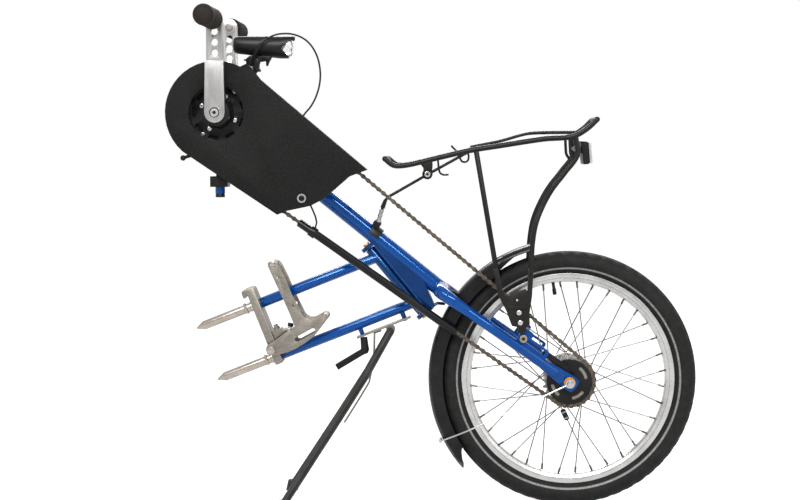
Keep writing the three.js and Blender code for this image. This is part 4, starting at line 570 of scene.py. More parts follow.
def chain_pins():
    """Pin places, round the chainring, the lower run, the sprocket and the upper run."""
    ring_step, cog_step = 360 / RING_TEETH, 360 / COG_TEETH
    ring_count = math.floor((180 + 2 * drive_spread) / ring_step)
    cog_count = math.floor((180 - 2 * drive_spread) / cog_step)
    pins = [polar(CRANK, RING_R, DRIVE_UPPER + ring_step * i) for i in range(ring_count + 1)]

    def run_to(goal):
        start = pins[-1]
        count = round(math.dist(start, goal) / PITCH)
        for i in range(1, count):
            pins.append(tuple(a + (b - a) * i / count for a, b in zip(start, goal)))

    first_cog = DRIVE_UPPER - cog_step * cog_count
    run_to(polar(AXLE, COG_R, first_cog))
    pins.extend(polar(AXLE, COG_R, first_cog + cog_step * i) for i in range(cog_count + 1))
    run_to(pins[0])
    return pins


PLATE_HALF, PLATE_WAIST, PLATE_THICK = 4.3, 2.5, 0.95
PLATE_REACH = {True: 3.35, False: 2.25}  # from the chain's middle, for outer and inner links
ROLLER_RADIUS, ROLLER_HALF, PIN_END_RADIUS, PIN_HALF = 3.85, 1.35, 1.75, 3.65


def link_outline(a, b):
    """Figure-of-eight side plate round two pins."""
    along = heading(a, b)
    middle = ((a[0] + b[0]) / 2, (a[1] + b[1]) / 2)
    return [*arc(a, PLATE_HALF, along + 52, along + 308, 10),
            polar(middle, PLATE_WAIST, along - 90),
            *arc(b, PLATE_HALF, along - 128, along + 128, 10),
            polar(middle, PLATE_WAIST, along + 90)]


# Bush chain of alternate outer and inner links, with rollers and riveted pin ends
bm = bmesh.new()
pins = chain_pins()
for i, pin in enumerate(pins):
    shape = link_outline(pin, pins[(i + 1) % len(pins)])
    reach = PLATE_REACH[i % 2 == 0]
    for side in (-1, 1):
        add_prism(bm, shape, CHAIN_Y + side * (reach - PLATE_THICK), CHAIN_Y + side * reach)
    for radius, last, steps, half in (
            (ROLLER_RADIUS, 324, 9, ROLLER_HALF), (PIN_END_RADIUS, 315, 7, PIN_HALF)):
        add_prism(bm, arc(pin, radius, 0, last, steps), CHAIN_Y - half, CHAIN_Y + half)
piece("chain_links", bm, "chain_steel", "frame", ["chain"])

# Toothed ring with rounded tooth gaps, tapered tips and an open middle
RING_INSIDE, RING_HALF, TIP_HALF = 62, 0.9, 0.45
step = 360 / RING_TEETH
outer, rings = [], []
for at in [DRIVE_UPPER + i * step for i in range(RING_TEETH)]:
    outer += arc(polar(CRANK, RING_R, at), 3.95, at + 118, at + 242, 6)
    outer += [polar(CRANK, RING_R + out, at + step * share)
              for out, share in ((2.2, 0.4), (3.5, 0.455), (3.5, 0.545), (2.2, 0.6))]
for x, z in sorted(outer, key=lambda p: (
        heading(CRANK, p) - DRIVE_UPPER + step / 2 - 0.01) % 360):
    ix, iz = polar(CRANK, RING_INSIDE, heading(CRANK, (x, z)))
    half = TIP_HALF if math.dist((x, z), CRANK) - RING_R > 1.5 else RING_HALF
    rings.append([(x, CHAIN_Y - half, z), (x, CHAIN_Y + half, z),
                  (ix, CHAIN_Y + RING_HALF, iz), (ix, CHAIN_Y - RING_HALF, iz)])
bm = add_rings(bmesh.new(), rings, closed=True)
piece("chainring_teeth", bm, "chainring_steel", "crankset", ["chainring"])

RIBS = 22
RIB_SHAPE = ((18.6, 0), (18.9, 0.12), (19.6, 0.32), (19.6, 0.68), (18.9, 0.88))  # share of a pitch


def grip(side, name):
    """Ribbed rubber sleeve with a waisted neck, a flange and a domed end cap."""
    start = CRANK_FACE + 0.6
    end = start + GRIP_LENGTH
    first, last = start + 19, end - 13
    pitch = (last - first) / RIBS
    profile = [(r, start + y) for r, y in (
        (7.6, 5), (13.6, 5), (14.8, 5.8), (15, 9), (17.5, 12), (19.4, 14), (20, 16.5))]
    profile += [(r, first + pitch * (k + share)) for k in range(RIBS) for r, share in RIB_SHAPE]
    profile += [(18.6, last), (19.9, last + 2), (20, last + 6)]
    profile += [(r, end + y) for r, y in (
        (19.7, -3), (18.6, 0), (16.5, 2.2), (14.2, 3.6), (13.4, 3.2), (12.6, 3.8), (7, 4.7),
        (0.6, 5), (0.6, -12), (7.6, -14))]
    turned(f"{name}_grip_sleeve", (CRANK[0], CRANK[1] + CRANK_LENGTH),
           [(r, side * y) for r, y in profile], "grip_rubber", f"{name}_grip", 64,
           [f"grip_{name}"])


grip(-1, "near")
grip(1, "far")

# Headlight cable, along the CAD route; its x is from the axle
CABLE_RADIUS = 1.8
CABLE_ROUTE = [
    (-621, -9.3, 862), (-618, -13, 871), (-611, -20, 884), (-602, -21.5, 897), (-591, -21.5, 909),
    (-573, -21.5, 919), (-554, -21.5, 922), (-534, -21, 920), (-514, -20, 911), (-500, -19, 897),
    (-489, -18, 875), (-484, -19, 848), (-485, -22, 825), (-491, -33, 800), (-500, -48, 780),
    (-509, -57.9, 768), (-517, -58, 757), (-524, -59.5, 748),
]
path = curve_through([(x + SHIFT, y, z) for x, y, z in CABLE_ROUTE], 5)
cable = add_tube(bmesh.new(), path, CABLE_RADIUS, 16)
sheath = piece("light_cable_sheath", cable, "cable_rubber", "frame", ["light_cable"])

# Main tube with the crank shell and a crown that runs into the two fork blades
BLADE_WAY = unit(CROWN, AXLE)
SHELL = [(9.1, 39.6), (16, 39.6), (17, 40), (20, 39.4), (20, 36), (24.2, 36), (25, 35.2)]
CROWN_PATH = ((0, 0), (0, 26), (1.5, 42), (9, 54), (24, 60.5), (44, 62), (66, 62))  # along, out
CROWN_RADIUS, CROWN_TAPER = 15.4, 5.2

bm = bmesh.new()
add_tube(bm, [(x, 0, z) for x, z in (CRANK, CROWN)], TUBE_RADIUS, 48)
add_revolved(bm, [(r, -y) for r, y in SHELL] + SHELL[::-1], *CRANK, 64)
for side in (-1, 1):
    places = [(line_at(CROWN, BLADE_WAY, along), y) for along, y in CROWN_PATH]
    path = curve_through([(x, side * y, z) for (x, z), y in places], 8)
    last = len(path) - 1
    radii = [CROWN_RADIUS - CROWN_TAPER * min(1, (i / last) ** 1.3 * 1.05)
             for i in range(last + 1)]
    add_tube(bm, path, radii, 40)
piece("main_tube_and_crown", bm, "blue_paint", "frame", ["main_tube"])

# Gusset: rounded beads along the side that faces the steering tube
HEAD_TOP, HEAD_BOTTOM = (-404 + SHIFT, 520), (-276 + SHIFT, 365)
HEAD_WAY = unit(HEAD_TOP, HEAD_BOTTOM)
beads = bmesh.new()
for y, out, radius in ((-13.2, -12.4, 2), (13.2, -12.4, 2), (0, -12, 1.9)):
    ends = line_at(HEAD_TOP, HEAD_WAY, 24), line_at(HEAD_BOTTOM, HEAD_WAY, -19)
    add_tube(beads, [(x + HEAD_WAY[1] * out, y, z - HEAD_WAY[0] * out) for x, z in ends],
             radius, 16)
piece("gusset_edge_beads", beads, "blue_paint")

# Crankset: bolts on the spider, a dark plate painted as the shade behind its windows, and the
# crank bolts
SPIDER_FACE, SPINDLE_HALF, CRANK_BOLT_FACE = -51.2, 100, 100.3
CRANK_RING = ((9.4, 0), (11.6, 0), (11.6, 1.4), (11, 2.1), (10, 2.1), (9.4, 1.4))
CRANK_CAP = ((0.2, 0), (8, 0), (8, 2.2), (7.2, 3.1), (3.6, 3.3), (3.4, 1), (0.2, 1))
bolts, seats, zinc = bmesh.new(), bmesh.new(), bmesh.new()
for angle in (156.6, 239.8, 336.4, 66):
    at = polar(CRANK, 35, angle)
    button(bolts, at, SPIDER_FACE - 0.8, 5.3, 3.2, socket=0.3)
    seat = ((4.6, -0.2), (7.6, -0.2), (7.6, 0.6), (7, 0.9), (4.6, 0.9))
    add_revolved(seats, from_face(SPIDER_FACE, seat), *at, 32)
for angle in (233, 53):
    button(zinc, polar(CRANK, 51, angle), SPIDER_FACE, 4.4, 2.4)
piece("spider_bolts", bolts, "rim_aluminium", "crankset")
piece("spider_bolt_seats", seats, "tube_plastic", "crankset")
piece("chainring_bolts", zinc, "aluminium", "crankset")
boss = ((27.2, -0.3), (29.4, -0.3), (29.2, 1.3), (28.3, 1.8), (27.4, 1.3))
turned("spider_boss_ring", CRANK, from_face(SPIDER_FACE, boss), "tube_plastic", "crankset", 72)
# Near-black disc in the chain's plane: painted shade seen through the spider's windows
turned("window_shade_plate", CRANK, band(26.4, 61.4, -45.9, -44.9), "tyre", "crankset", 72)

# Near-black ring in each crank bolt's groove and hex at the bottom of its socket: painted shade in
# the recesses
painted_recess_shade = bmesh.new()
spindle = add_revolved(bmesh.new(), band(0.2, 8.5, -SPINDLE_HALF, SPINDLE_HALF), *CRANK, 40)
for side in (-1, 1):
    face = side * CRANK_BOLT_FACE
    for bm, profile in (
            (spindle, CRANK_RING), (spindle, CRANK_CAP), (painted_recess_shade, band(7.9, 9.5, 0, 0.8))):
        add_revolved(bm, from_face(face, profile, side), *CRANK, 48)
    add_prism(painted_recess_shade, [polar(CRANK, 3.3, 60 * k + 10) for k in range(6)],
              face + side * 0.6, face + side * 1.6)
piece("crank_bolt_painted_recess_shade", painted_recess_shade, "tyre", "crankset")
piece("crank_bolts_and_spindle", spindle, "steel", "crankset", ["crank_spindle"])

# Guard screw in its washer, the knob on the guard's lower edge, and the stub's blue sleeve
GUARD_SCREW, GUARD_FACE = (-251.15, 604.65), -80.3
washer = ((5.2, 0), (9, 0), (9, 1.1), (8.4, 1.9), (5.8, 1.9), (5.2, 1.3))
turned("guard_screw_washer", GUARD_SCREW, from_face(GUARD_FACE, washer), "aluminium", "frame",
       stands_for=["guard_screw"])
screw = button(bmesh.new(), GUARD_SCREW, GUARD_FACE, 5, 2.2)
piece("guard_screw_head", screw, "tube_plastic")
stem = add_tube(bmesh.new(), [(-481, -69, 681.5), (-462, -69, 687.5)], 3.2, 16)
piece("guard_knob_stem", stem, "grip_rubber")
knob = ((0.2, 5), (3.4, 5), (5, 3), (5.4, 0), (5, -3), (3.4, -5), (0.2, -5.6))
turned("guard_knob", (-481, 681.5), from_face(-69, knob, 1), "grip_rubber", "frame", 24)
stub = add_tube(bmesh.new(), [(CRANK[0], -39, 624.8), (CRANK[0], -39, 612.4)], 9.6, 32)
piece("stub_sleeve", stub, "blue_paint")

# Rack: rods, forked castings, hooks and reflector. Its lines are in shares of its length, and
# the castings' in shares of their height, as in the CAD
RACK_LENGTH, RACK_Y, RACK_ROD, LEG_ROD, BRACE_ROD, FLAP_ROD = 404, 65, 5.2, 4.9, 2.8, 3
RACK_X, RACK_Z = 48 + SHIFT, 2 * TYRE_RADIUS + 180
HOOP = [(0, 0), (0.0396, -0.0297), (0.0842, -0.0322), (0.2624, 0.0074), (0.4035, 0.0396),
        (0.5446, 0.0619), (0.755, 0.0941), (0.8886, 0.1064), (0.9554, 0.1436), (1, 0.1856)]
CROSS_BARS = (0, 4, 6, 9)
STRAIGHT_TOP, ROD_HEAD = (0.4332, 0.0446), (0.9, 0.108)
CURVED = [(0.9035, 0.0842), (0.9084, 0.0173), (0.8515, -0.0644), (0.7896, -0.146),
          (0.7475, -0.2228), (0.7153, -0.3069), (0.7005, -0.396), (0.6955, -0.48)]
WIDE = 5  # points of the curved rod that are as far apart as the rails
BRACE = [(0.872, 0.105), (0.874, 0.055), (0.878, 0.02), (0.893, -0.003)]
FLAP = [(0.4109, 0.0567), (0.547, 0.0842), (0.6436, 0.1114), (0.6931, 0.1213), (0.9084, 0.1262)]
CAST_HEIGHT, CAST_THICK, CAST_FACE = 122, 9, 64.8
CAST_AT = line_at(line_at(CROWN, BLADE_WAY, 184), (-BLADE_WAY[1], BLADE_WAY[0]), 28)
CASTING = [
    (-0.148, 0.033), (-0.025, 0.033), (-0.008, 0.131), (0.032, 0.15), (0.045, 0.185),
    (0.038, 0.336), (0.078, 0.623), (0.09, 1.049), (0.008, 1.049), (0.008, 0.66), (-0.02, 0.73),
    (-0.254, 0.672), (-0.295, 0.574), (-0.393, 0.713), (-0.455, 1.049), (-0.533, 1.049),
    (-0.459, 0.648), (-0.32, 0.377), (-0.258, 0.2), (-0.235, 0.15), (-0.139, 0.131),
]
CAST_RIB = ((-0.3, 0.42), (0, 0.42), (0.028, 0.47), (-0.3, 0.47))
CAST_BOLTS, CAST_WINDOW = ((-0.104, 0.203), (-0.125, 0.361)), (-0.157, 0.558)
ROD_FEET = ((-0.434, 0.75), (0.045, 0.72))


def rack_point(share, y=0):
    return Vector((RACK_X - RACK_LENGTH * (1 - share[0]), y, RACK_Z + RACK_LENGTH * share[1]))


def casting_point(share):
    return (CAST_AT[0] + share[0] * CAST_HEIGHT, CAST_AT[1] + share[1] * CAST_HEIGHT)


def add_cross_rod(bm, middle, half, radius, sides):
    reach = Vector((0, half, 0))
    add_tube(bm, [middle - reach, middle + reach], radius, sides)


def add_bent_rod(bm, shares, y, radius, per, sides):
    add_tube(bm, curve_through([rack_point(share, y) for share in shares], per), radius, sides)


# Rails that bend up at both ends, joined by cross bars with round corners
bm = bmesh.new()
for side in (-1, 1):
    add_bent_rod(bm, HOOP, side * RACK_Y, RACK_ROD, 12, 20)
for index in CROSS_BARS:
    at = rack_point(HOOP[index])
    add_cross_rod(bm, at, RACK_Y + RACK_ROD * 0.4, RACK_ROD, 20)
    for side in (-1, 1):
        corner = Matrix.Translation(at + Vector((0, side * RACK_Y, 0)))
        bmesh.ops.create_uvsphere(
            bm, u_segments=20, v_segments=12, radius=RACK_ROD, matrix=corner)
piece("rack_platform_rods", bm, "rack_metal", "frame", ["rack_platform"])


def rack_leg(side, name):
    """Forked casting on the fork blade, with a straight rod, a curved rod and a brace."""
    bm, bolts, dark = bmesh.new(), bmesh.new(), bmesh.new()
    outer = side * (CAST_FACE + CAST_THICK)
    rod_y, top_y = side * (CAST_FACE + CAST_THICK / 2), side * RACK_Y
    feet = [Vector((x, rod_y, z)) for x, z in map(casting_point, ROD_FEET)]
    add_tube(bm, [rack_point(STRAIGHT_TOP, top_y) - Vector((0, 0, 4)), feet[0]], LEG_ROD, 20)
    path = [rack_point(share, top_y if i < WIDE else rod_y) for i, share in enumerate(CURVED)]
    add_tube(bm, curve_through([rack_point(ROD_HEAD, top_y), *path, feet[1]], 12), LEG_ROD, 20)
    add_bent_rod(bm, BRACE, top_y, BRACE_ROD, 8, 14)
    add_prism(bm, map(casting_point, CASTING), side * CAST_FACE, outer)
    add_prism(bm, map(casting_point, CAST_RIB), outer - side * 0.5, outer + side * 1.8)
    piece(f"rack_leg_{name}_casting", bm, "rack_metal", "frame", [f"rack_leg_{name}"], 0.9)
    seat = from_face(outer, ((5, -0.3), (7.8, -0.3), (7.6, 0.9), (5, 0.9)), side)
    for at in map(casting_point, CAST_BOLTS):
        button(bolts, at, outer, 5.4, 3, side, 0.34)
        add_revolved(dark, seat, *at, 32)
    # Near-black square on the casting's face: painted shade in its window, with a small bolt in
    # the middle
    x, z = casting_point(CAST_WINDOW)
    square = [(x - 5, z - 5), (x + 5, z - 5), (x + 5, z + 5), (x - 5, z + 5)]
    add_prism(dark, square, outer - side * 0.3, outer + side * 0.7)
    button(bolts, (x, z), outer + side * 0.7, 2.2, 1, side, 0.3, 16)
    piece(f"rack_bolts_{name}", bolts, "rim_aluminium")
    piece(f"rack_bolt_seats_and_window_shade_{name}", dark, "tyre")


rack_leg(-1, "near")
rack_leg(1, "far")

bm = bmesh.new()
for side in (-1, 1):
    add_bent_rod(bm, FLAP, side * 40, FLAP_ROD, 10, 16)
for share in (FLAP[0], FLAP[-1]):
    add_cross_rod(bm, rack_point(share), 42, FLAP_ROD, 16)
piece("rack_flap_rods", bm, "rack_metal", "flap", ["rack_flap"])

# Bent wire hooks and the ring bolt of the front bracket
bm, place = bmesh.new(), (-12, 650)
for points in ([(8.6, 676.5), (10.1, 662), (12.5, 653), (18.3, 649.2), (29.3, 649.2)],
               [(46, 690), (50.2, 682.9), (55, 674.8), (61, 673.6), (66.2, 676.5),
                (67.8, 686), (65, 693)],
               [(58, 686), (46.9, 692.6), (40, 699), (34.1, 705.3)]):
    add_tube(bm, curve_through([(x, -29.5, z) for x, z in points], 8), 2, 12)
add_revolved(bm, [(7.2, -23.8), (10.2, -23.8), (10.2, -27.2), (9.6, -28), (7.8, -28),
                  (7.2, -27.2)], *place, 36)
piece("rack_wire_hooks", bm, "rack_metal")
bolt = button(bmesh.new(), place, -24.6, 7, 2.6, socket=0.36)
piece("stay_ring_bolt", bolt, "rim_aluminium")

# Black housing on a cross bar, with a separate lens set off behind a dark gap
housing = bmesh.new()
x, _, top = rack_point(CURVED[0])
left, low, bar_z = x + 10, top - 45, top - 14
add_cross_rod(housing, Vector((x, 0, bar_z)), 59.8, 3, 16)
add_prism(housing, [(x, bar_z + 4), (left + 4, bar_z + 1), (left + 4, bar_z - 11),
                    (x, bar_z - 5)], -36, 36)
add_prism(housing, [(left, top), (left + 6, low), (left + 17, low + 1),
                    (left + 13, top - 1)], -40, 40)
piece("reflector_housing", housing, "black_plastic", "frame", ["rear_reflector"], 1.6, 3)
lens = [(left + 14.4, top - 1.5), (left + 18.2, low + 2), (left + 23.5, low + 3),
        (left + 20.5, top - 2.5)]
lens = add_prism(bmesh.new(), lens, -37, 37)
piece("reflector_lens", lens, "rim_aluminium", "frame", (), 1.2, 3)

MUD_OUTER, MUD_HALF, MUD_THICK = 274, 28.6, 1.5
MUD_FROM, MUD_TO, FLAP_FROM, MUD_STEPS = 105, 221, 213, 116  # degrees round the axle, and steps
LUG_LOW, LUG_HIGH = 272.8, 289.8  # radii of the lugs that hold it under the crown

# A rolled strip whose sides come down beside the tyre and end in a pointed flap
inside = MUD_OUTER - MUD_THICK
rings = []
for i in range(MUD_STEPS + 1):
    angle = MUD_FROM + (MUD_TO - MUD_FROM) * i / MUD_STEPS
    pointed = max(0, (angle - FLAP_FROM) / (MUD_TO - FLAP_FROM))
    edge = 262 - 17 * min(1, max(0, (angle - 114) / 14))
    edge += (MUD_OUTER - 3 - edge) * pointed ** 0.8
    half = MUD_HALF * (1 - 0.35 * pointed ** 2)
    outer = [(edge, half), (edge + (268 - edge) * 0.5, half * 0.985),
             (max(edge, 267), half * 0.93), (MUD_OUTER - 2.4, half * 0.74),
             (MUD_OUTER - 0.4, half * 0.45), (MUD_OUTER, 0)]
    inner = [(inside, 0), (inside - 0.4, half * 0.43), (inside - 2.2, half * 0.7),
             (max(edge, 265.6), half * 0.88),
             (edge + (266.6 - edge) * 0.5, half * 0.985 - MUD_THICK), (edge, half - MUD_THICK)]
    section = [*outer, *[(r, -y) for r, y in outer[-2::-1] + inner[::-1]], *inner[1:]]
    places = [(polar(AXLE, r, angle), y) for r, y in section]
    rings.append([(x, y, z) for (x, z), y in places])
bm = add_rings(bmesh.new(), rings)
middle = heading(AXLE, CROWN)
lug = [polar(AXLE, radius, middle + turn) for radius, turn in
       ((LUG_LOW, -3), (LUG_LOW, 3), (LUG_HIGH, 2), (LUG_HIGH, -2))]
for side in (-1, 1):
    add_prism(bm, lug, side * 8.5, side * 14.5)
piece("mudguard_strip", bm, "tube_plastic", "frame", ["mudguard"])

# Headlight: body with a notched visor, clear lens over a bright bowl, mounting foot and strap
LAMP_TOP, LAMP_FLAT, LAMP_SIDES = 918.4, 0.78, 48
LAMP_BACK = [(-392.3, 0.4), (-392.3, 10.5), (-390.6, 14.6), (-384, 17)]
FRONT_X, FRONT_RADIUS = -290, 21.7
VISOR = [(-1, -283.4), (-0.5, -290), (-0.15, -297.5), (0.2, -291), (0.52, -283.2),
         (0.71, -273), (1, -271.9)]  # the front's x by the height on the ring
LAMP_FOOT = [
    ((-316, 880), (-319.9, 871.5), (-345, 867.4), (-348.6, 858.5), (-352, 857.6), (-367, 864.2),
     (-368.9, 873.8), (-360.3, 881)),
    ((-338, 881), (-318.9, 879), (-319.9, 871.5), (-335, 872)),
    ((-331, 876), (-319, 875), (-322.5, 867), (-325, 860.3), (-328.4, 861), (-328.6, 868)),
]
LENS = ((-300, 3), (-300, 18.9), (-284, 18.9), (-280, 17.8), (-277.4, 15), (-275.8, 10),
        (-275.2, 3))
BOWL = ((-300.4, 18.4), (-306, 17), (-314, 9), (-314.5, 1), (-313.8, 1), (-313.4, 8.6),
        (-305.6, 16.2), (-300.4, 17.4))
STRAP = [(-324, -6, 916), (-326.3, -9.6, 913.9), (-334.1, -14, 906.2), (-340, -14.6, 899),
         (-344, -13.6, 892.7), (-348.4, -11.4, 885), (-351.9, -9.2, 877.3), (-356.4, -8.4, 869.5),
         (-359, -8.3, 862)]


def visor_x(height):
    """The visor's x at a height from -1 to 1, on straight lines through its table."""
    for (a, low), (b, high) in zip(VISOR, VISOR[1:]):
        if height <= b:
            return low + (high - low) * (height - a) / (b - a)
    return VISOR[-1][1]


def lamp_ring(x, radius, centre_radius=FRONT_RADIUS):
    """One oval section of the lamp; without x it follows the visor."""
    ring = []
    for a in turns(LAMP_SIDES):
        ring.append((visor_x(math.sin(a)) if x is None else x, LAMP_FLAT * radius * math.cos(a),
                     LAMP_TOP - centre_radius + radius * math.sin(a)))
    return ring


def ribbon(bm, points, half, thick):
    """A flat band along points, standing off a side wall by its thickness."""
    rings = []
    out = Vector((0, -thick, 0))
    for i, point in enumerate(points):
        along, p = frame_along(points, i), Vector(point)
        across = Vector((along.z, 0, -along.x)).normalized() * half
        rings.append([p + across, p - across, p - across + out, p + across + out])
    return add_rings(bm, rings)


body, clips = bmesh.new(), bmesh.new()
tail_x, tail_radius = LAMP_BACK[-1]
rings = [lamp_ring(x, r, tail_radius) for x, r in LAMP_BACK]
for share in [i / 8 for i in range(1, 9)]:
    radius = tail_radius + (FRONT_RADIUS - tail_radius) * share
    rings.append(lamp_ring(tail_x + (FRONT_X - 10 - tail_x) * share, radius, radius))
rings += [lamp_ring(x, radius) for x, radius in (
    (None, FRONT_RADIUS), (None, FRONT_RADIUS - 2), (-303, FRONT_RADIUS - 2.4), (-318, 7))]
add_rings(body, rings)
for outline, half in zip(LAMP_FOOT, (3.9, 8, 3)):
    add_prism(body, outline, -half, half)
add_tube(body, [(-362, 0, 873), (-372.5, 0, 872.4)], 1.7, 12)
piece("headlight_body_shell", body, "black_metal", "lamp", ["headlight_body"], 0.5)
lens = add_rings(bmesh.new(), [lamp_ring(*point) for point in LENS])
piece("headlight_lens_dome", lens, "clear_plastic", "lamp", ["headlight_lens"])
bowl = add_rings(bmesh.new(), [lamp_ring(*point) for point in BOWL], closed=True)
piece("headlight_reflector_bowl", bowl, "steel", "lamp")
strap = ribbon(bmesh.new(), curve_through(STRAP, 4), 3.6, 1.5)
piece("headlight_strap", strap, "rack_metal", "lamp", (), 0.3)
for y in (-7.32, 7.9):
    ribbon(clips, [(-362.2, y, 861), (-353.6, y, 854)], 1.5, 0.58)
piece("headlight_bracket_band", clips, "aluminium")

# Docking pins: turned steel with a neck, a collar, a nut and a pointed nose
ARM_WAY = unit((0, 0), (-0.929, -0.37))
PIN_RADIUS = 9
PIN = [(0.5, 5), (0.6, 7), (17.6, 7), (18.1, 9.6), (18.8, 10.2), (23.2, 10.2), (23.9, 9.6),
       (24.2, PIN_RADIUS), (36.4, PIN_RADIUS), (122, PIN_RADIUS), (125.4, 8.2), (126.2, 7.6),
       (139.2, 1.6), (140, 0.7)]
PIN_NUT = [(29.8, 8.6), (30, 10.8), (30.8, 12), (35.2, 12), (36, 10.8), (36.2, 8.6)]
for name, (x, z) in (("upper", (-340.3, 395.1)), ("lower", (-299.6, 293.1))):
    bm = bmesh.new()
    for profile, sides in ((PIN, 40), (PIN_NUT, 6)):
        add_turned_rod(bm, Vector((x, 0, z)), Vector((ARM_WAY[0], 0, ARM_WAY[1])), profile, sides)
    piece(f"docking_pin_{name}_turned", bm, slot_of_node["docking_pin_lower"], "docking",
          [f"docking_pin_{name}"])

# Rack stay: a straight rod with a kink, its plate on the rack and a pale adjuster over its clamp
STAY_Y = -22
STAY = [(-110, 550), (-98.5, 588), (-94.5, 598.5), (-87, 606.5), (-76, 612.6), (-20.6, 644.4),
        (49.2, 683.3), (70, 694.4)]
STAY_PLATE = [(-27, 671), (-27, 677), (-2, 680), (-2, 664), (-4.5, 645), (-9, 641), (-15, 641),
              (-19.5, 646), (-20, 662)]
ADJUSTER = [(0, 3.4), (0.04, 4.6), (0.3, 4.6), (0.34, 3.8), (0.4, 3.8), (0.44, 4.6), (0.62, 4.6),
            (0.66, 3.8), (0.72, 3.8), (0.76, 4.6), (0.96, 4.6), (1, 3.4)]
rod = add_tube(bmesh.new(), [(x, STAY_Y, z) for x, z in STAY], 2.9, 20)
add_tube(rod, [(-99.5, STAY_Y, 584), (-93.5, STAY_Y, 600)], [4.7, 3.6], 20)
add_prism(rod, STAY_PLATE, -25.2, -19)
piece("rack_stay_rod", rod, "rack_metal", "frame", ["rack_stay"], 0.3)
adjuster = add_turned_rod(bmesh.new(), Vector((-108, STAY_Y, 556)), Vector((7.8, 0, 26)), ADJUSTER)
piece("rack_stay_adjuster", adjuster, "aluminium")

# Stop plate with its adjusting bolt and cap, and the blue screw under the second lug
STOP_PLATE = [(-317, 340.5), (-291, 348.3), (-277.5, 345.5), (-277.5, 341.5), (-288, 341.5),
              (-300, 331), (-316, 319)]
plate = add_prism(bmesh.new(), STOP_PLATE, -17.6, -14.6)
piece("stop_plate", plate, slot_of_node["stop_bracket"], "docking", (), 0.4)
stop = Vector((-285, -12, 335)), Vector((0.17, 0, 0.985))
bolt = add_turned_rod(bmesh.new(), *stop, [(0, 3.2), (0.4, 3.6), (17, 3.6)])
add_turned_rod(bolt, *stop, [(5, 6.4), (5.8, 7.2), (11.2, 7.2), (12, 6.4)], 6)
piece("stop_bolt", bolt, "steel", "docking", (), 0.3)
cap = add_turned_rod(bmesh.new(), *stop, [(15, 5.6), (15.8, 6.4), (21.2, 6.4), (22, 5.6)], 6)
piece("stop_bolt_cap", cap, "tube_plastic", "docking", (), 0.3)
screw = Vector((-58.2, 0, 368)), Vector((-ARM_WAY[1], 0, ARM_WAY[0]))
head = add_turned_rod(bmesh.new(), *screw, [(0, 3.6), (0.6, 4.8), (6.8, 4.8), (7.6, 3.8)])
piece("rail_screw_head", head, "navy_paint", "docking")

# Ring of the slot bolt, a black disc painted as the shade in its socket, and bright ground behind
# the sprocket cover's slots
SLOT_BOLT = (174.1, 334.8)
turned("slot_bolt_ring", SLOT_BOLT, [(4.6, -68.6), (6.6, -68.6), (6.4, -69.8), (4.9, -69.8)],
       "aluminium", "frame", 32)
# Flat black disc: painted shade in the bolt's socket
turned("slot_bolt_socket_shade", SLOT_BOLT, [(0.2, -68.6), (3.2, -68.6), (3, -69.2), (0.2, -69.2)],
       "tube_plastic", "frame", 24)
turned("cover_backing_ring", AXLE, band(29.5, 36.5, -49.78, -49.56), "warm_steel", "sprocket", 72)

# Small barrel with two bands, on the near spoke that passes closest to its place
place = Vector((250.5, -20, 180))
start, finish, _ = min((spoke_line(i) for i in range(0, SPOKES, 2)), key=lambda line: (
    (place - line[0]).cross((line[1] - line[0]).normalized()).length))
along = (finish - start).normalized()
middle = start + along * (place - start).dot(along)
ends = [(-11, 4.2), (-10, 5.2), (10, 5.2), (11, 4.2)]
barrel, bands = add_turned_rod(bmesh.new(), middle, along, ends), bmesh.new()
for d in (-7, 6):
    edges = [(d - 1.4, 5.2), (d - 1.1, 5.6), (d + 1.1, 5.6), (d + 1.4, 5.2)]
    add_turned_rod(bands, middle, along, edges)
piece("spoke_magnet", barrel, "tube_plastic", "wheel")
piece("spoke_magnet_bands", bands, "aluminium", "wheel")

# Grip spindles' heads on the inner faces of both crank arms: a pale ring round a core
for side, name in ((-1, "near"), (1, "far")):
    for part, slot, steps, profile in (
            ("ring", "chainring_steel", 40, ((5.6, -0.3), (8.4, -0.3), (8.2, 1.2), (6, 1.6))),
            ("core", "pin_steel", 32, ((0.2, -0.3), (4.9, -0.3), (4.6, 1.2), (0.2, 1.2)))):
        turned(f"grip_spindle_{part}_{name}", (CRANK[0], CRANK[1] + CRANK_LENGTH),
               from_face(side * 85, profile, -side), slot, "crankset", steps)

# CAD parts that show as they are, with the width of their rounded edges
EDGE = {"lever_plate_near": 0.4, "lever_plate_far": 0.4, "chain_guard": 1,
        "crank_arm_near": 2.4, "crank_arm_far": 2.4, "shell_block": 1.2, "latch_post": 0.6,
        "torque_arm": 0.4}
for name, obj in nodes.items():
    if not obj.hide_render:
        obj.data.materials.clear()
        obj.data.materials.append(SLOTS[slot_of_node[name]])
        soften(obj, EDGE.get(name, 0.5), clean=True)

# Studio, in metres: pale floor, soft lights and a plain world
FLOOR_SIZE, FLOOR_DROP, FLOOR_GREY = 40, 0.0005, (0.8, 0.8, 0.8, 1)
FLOOR_GLOW = 0.6  # brings the lit floor up to white where nothing shades it
SKY_STRENGTH = 0.55
LIGHTS = (  # place, aim's height, size, power
    ("key", (-1.6, -2.4, 3), 0.45, (1.8, 1.4), 62),
    ("fill", (2.6, -1.8, 1.6), 0.4, (2.2, 1.6), 22),
    ("back", (0.4, 2.6, 2.6), 0.5, (2.4, 1.4), 34),
    ("strip front", (0.1, -2.7, 2.6), 0.45, (3.2, 0.55), 150),
    ("strip back", (-0.1, 2.7, 2.6), 0.45, (3.2, 0.3), 70),
)


def empty_tree(owner):
    owner.use_nodes = True
    owner.node_tree.nodes.clear()
    return owner.node_tree


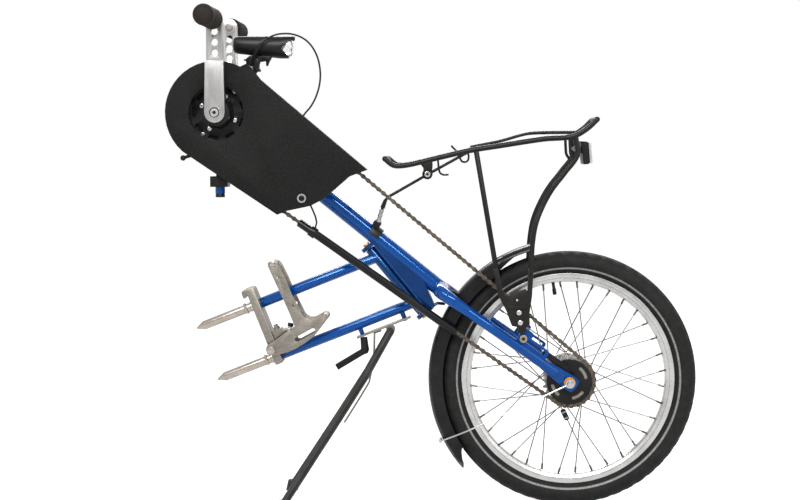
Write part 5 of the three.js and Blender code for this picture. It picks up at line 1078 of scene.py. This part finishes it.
def joined(tree, kind, *sources):
    """A new node with the sources linked to its first inputs; gives its output."""
    node = tree.nodes.new(kind)
    for source, socket in zip(sources, node.inputs):
        tree.links.new(source, socket)
    return node.outputs[0] if node.outputs else None


def valued(tree, kind, **values):
    node = tree.nodes.new(kind)
    for name, value in values.items():
        node.inputs[name].default_value = value
    return node.outputs[0]


def set_by_ray(tree, out, lighting, seen):
    """Camera, mirror and glass rays get the seen shader, and rays that light the other."""
    share, glossy, glass = (tree.nodes.new("ShaderNodeLightPath").outputs[kind] for kind in (
        "Is Camera Ray", "Is Glossy Ray", "Is Transmission Ray"))
    for other in (glossy, glass):
        share = joined(tree, "ShaderNodeMath", share, other)
        share.node.operation = "MAXIMUM"
    joined(tree, out, joined(tree, "ShaderNodeMixShader", share, lighting, seen))


bm = bmesh.new()
bmesh.ops.create_grid(bm, x_segments=1, y_segments=1, size=FLOOR_SIZE)
mesh = bpy.data.meshes.new("floor")
bm.to_mesh(mesh)
bm.free()
floor = add_object("floor", mesh)
floor.location.z = -FLOOR_DROP
material = bpy.data.materials.new("pale floor")
tree = empty_tree(material)
lit = valued(tree, "ShaderNodeBsdfDiffuse", Color=FLOOR_GREY)
glow = valued(tree, "ShaderNodeEmission", Strength=FLOOR_GLOW)
set_by_ray(tree, "ShaderNodeOutputMaterial", lit, joined(tree, "ShaderNodeAddShader", lit, glow))
mesh.materials.append(material)

world = bpy.data.worlds.new("studio")
bpy.context.scene.world = world
tree = empty_tree(world)
sky, seen = (valued(tree, "ShaderNodeBackground", Color=(1, 1, 1, 1), Strength=strength)
             for strength in (SKY_STRENGTH, 1))
set_by_ray(tree, "ShaderNodeOutputWorld", sky, seen)

for name, at, aim, size, power in LIGHTS:
    light = add_object(name, with_values(
        bpy.data.lights.new(name, "AREA"), shape="RECTANGLE", size=size[0], size_y=size[1],
        energy=power))
    light.location = at
    light.rotation_euler = (Vector((0, 0, aim)) - Vector(at)).to_track_quat("-Z", "Y").to_euler()
    if name.startswith("strip"):
        light.visible_diffuse = False
bpy.context.scene.view_settings.view_transform = "Standard"
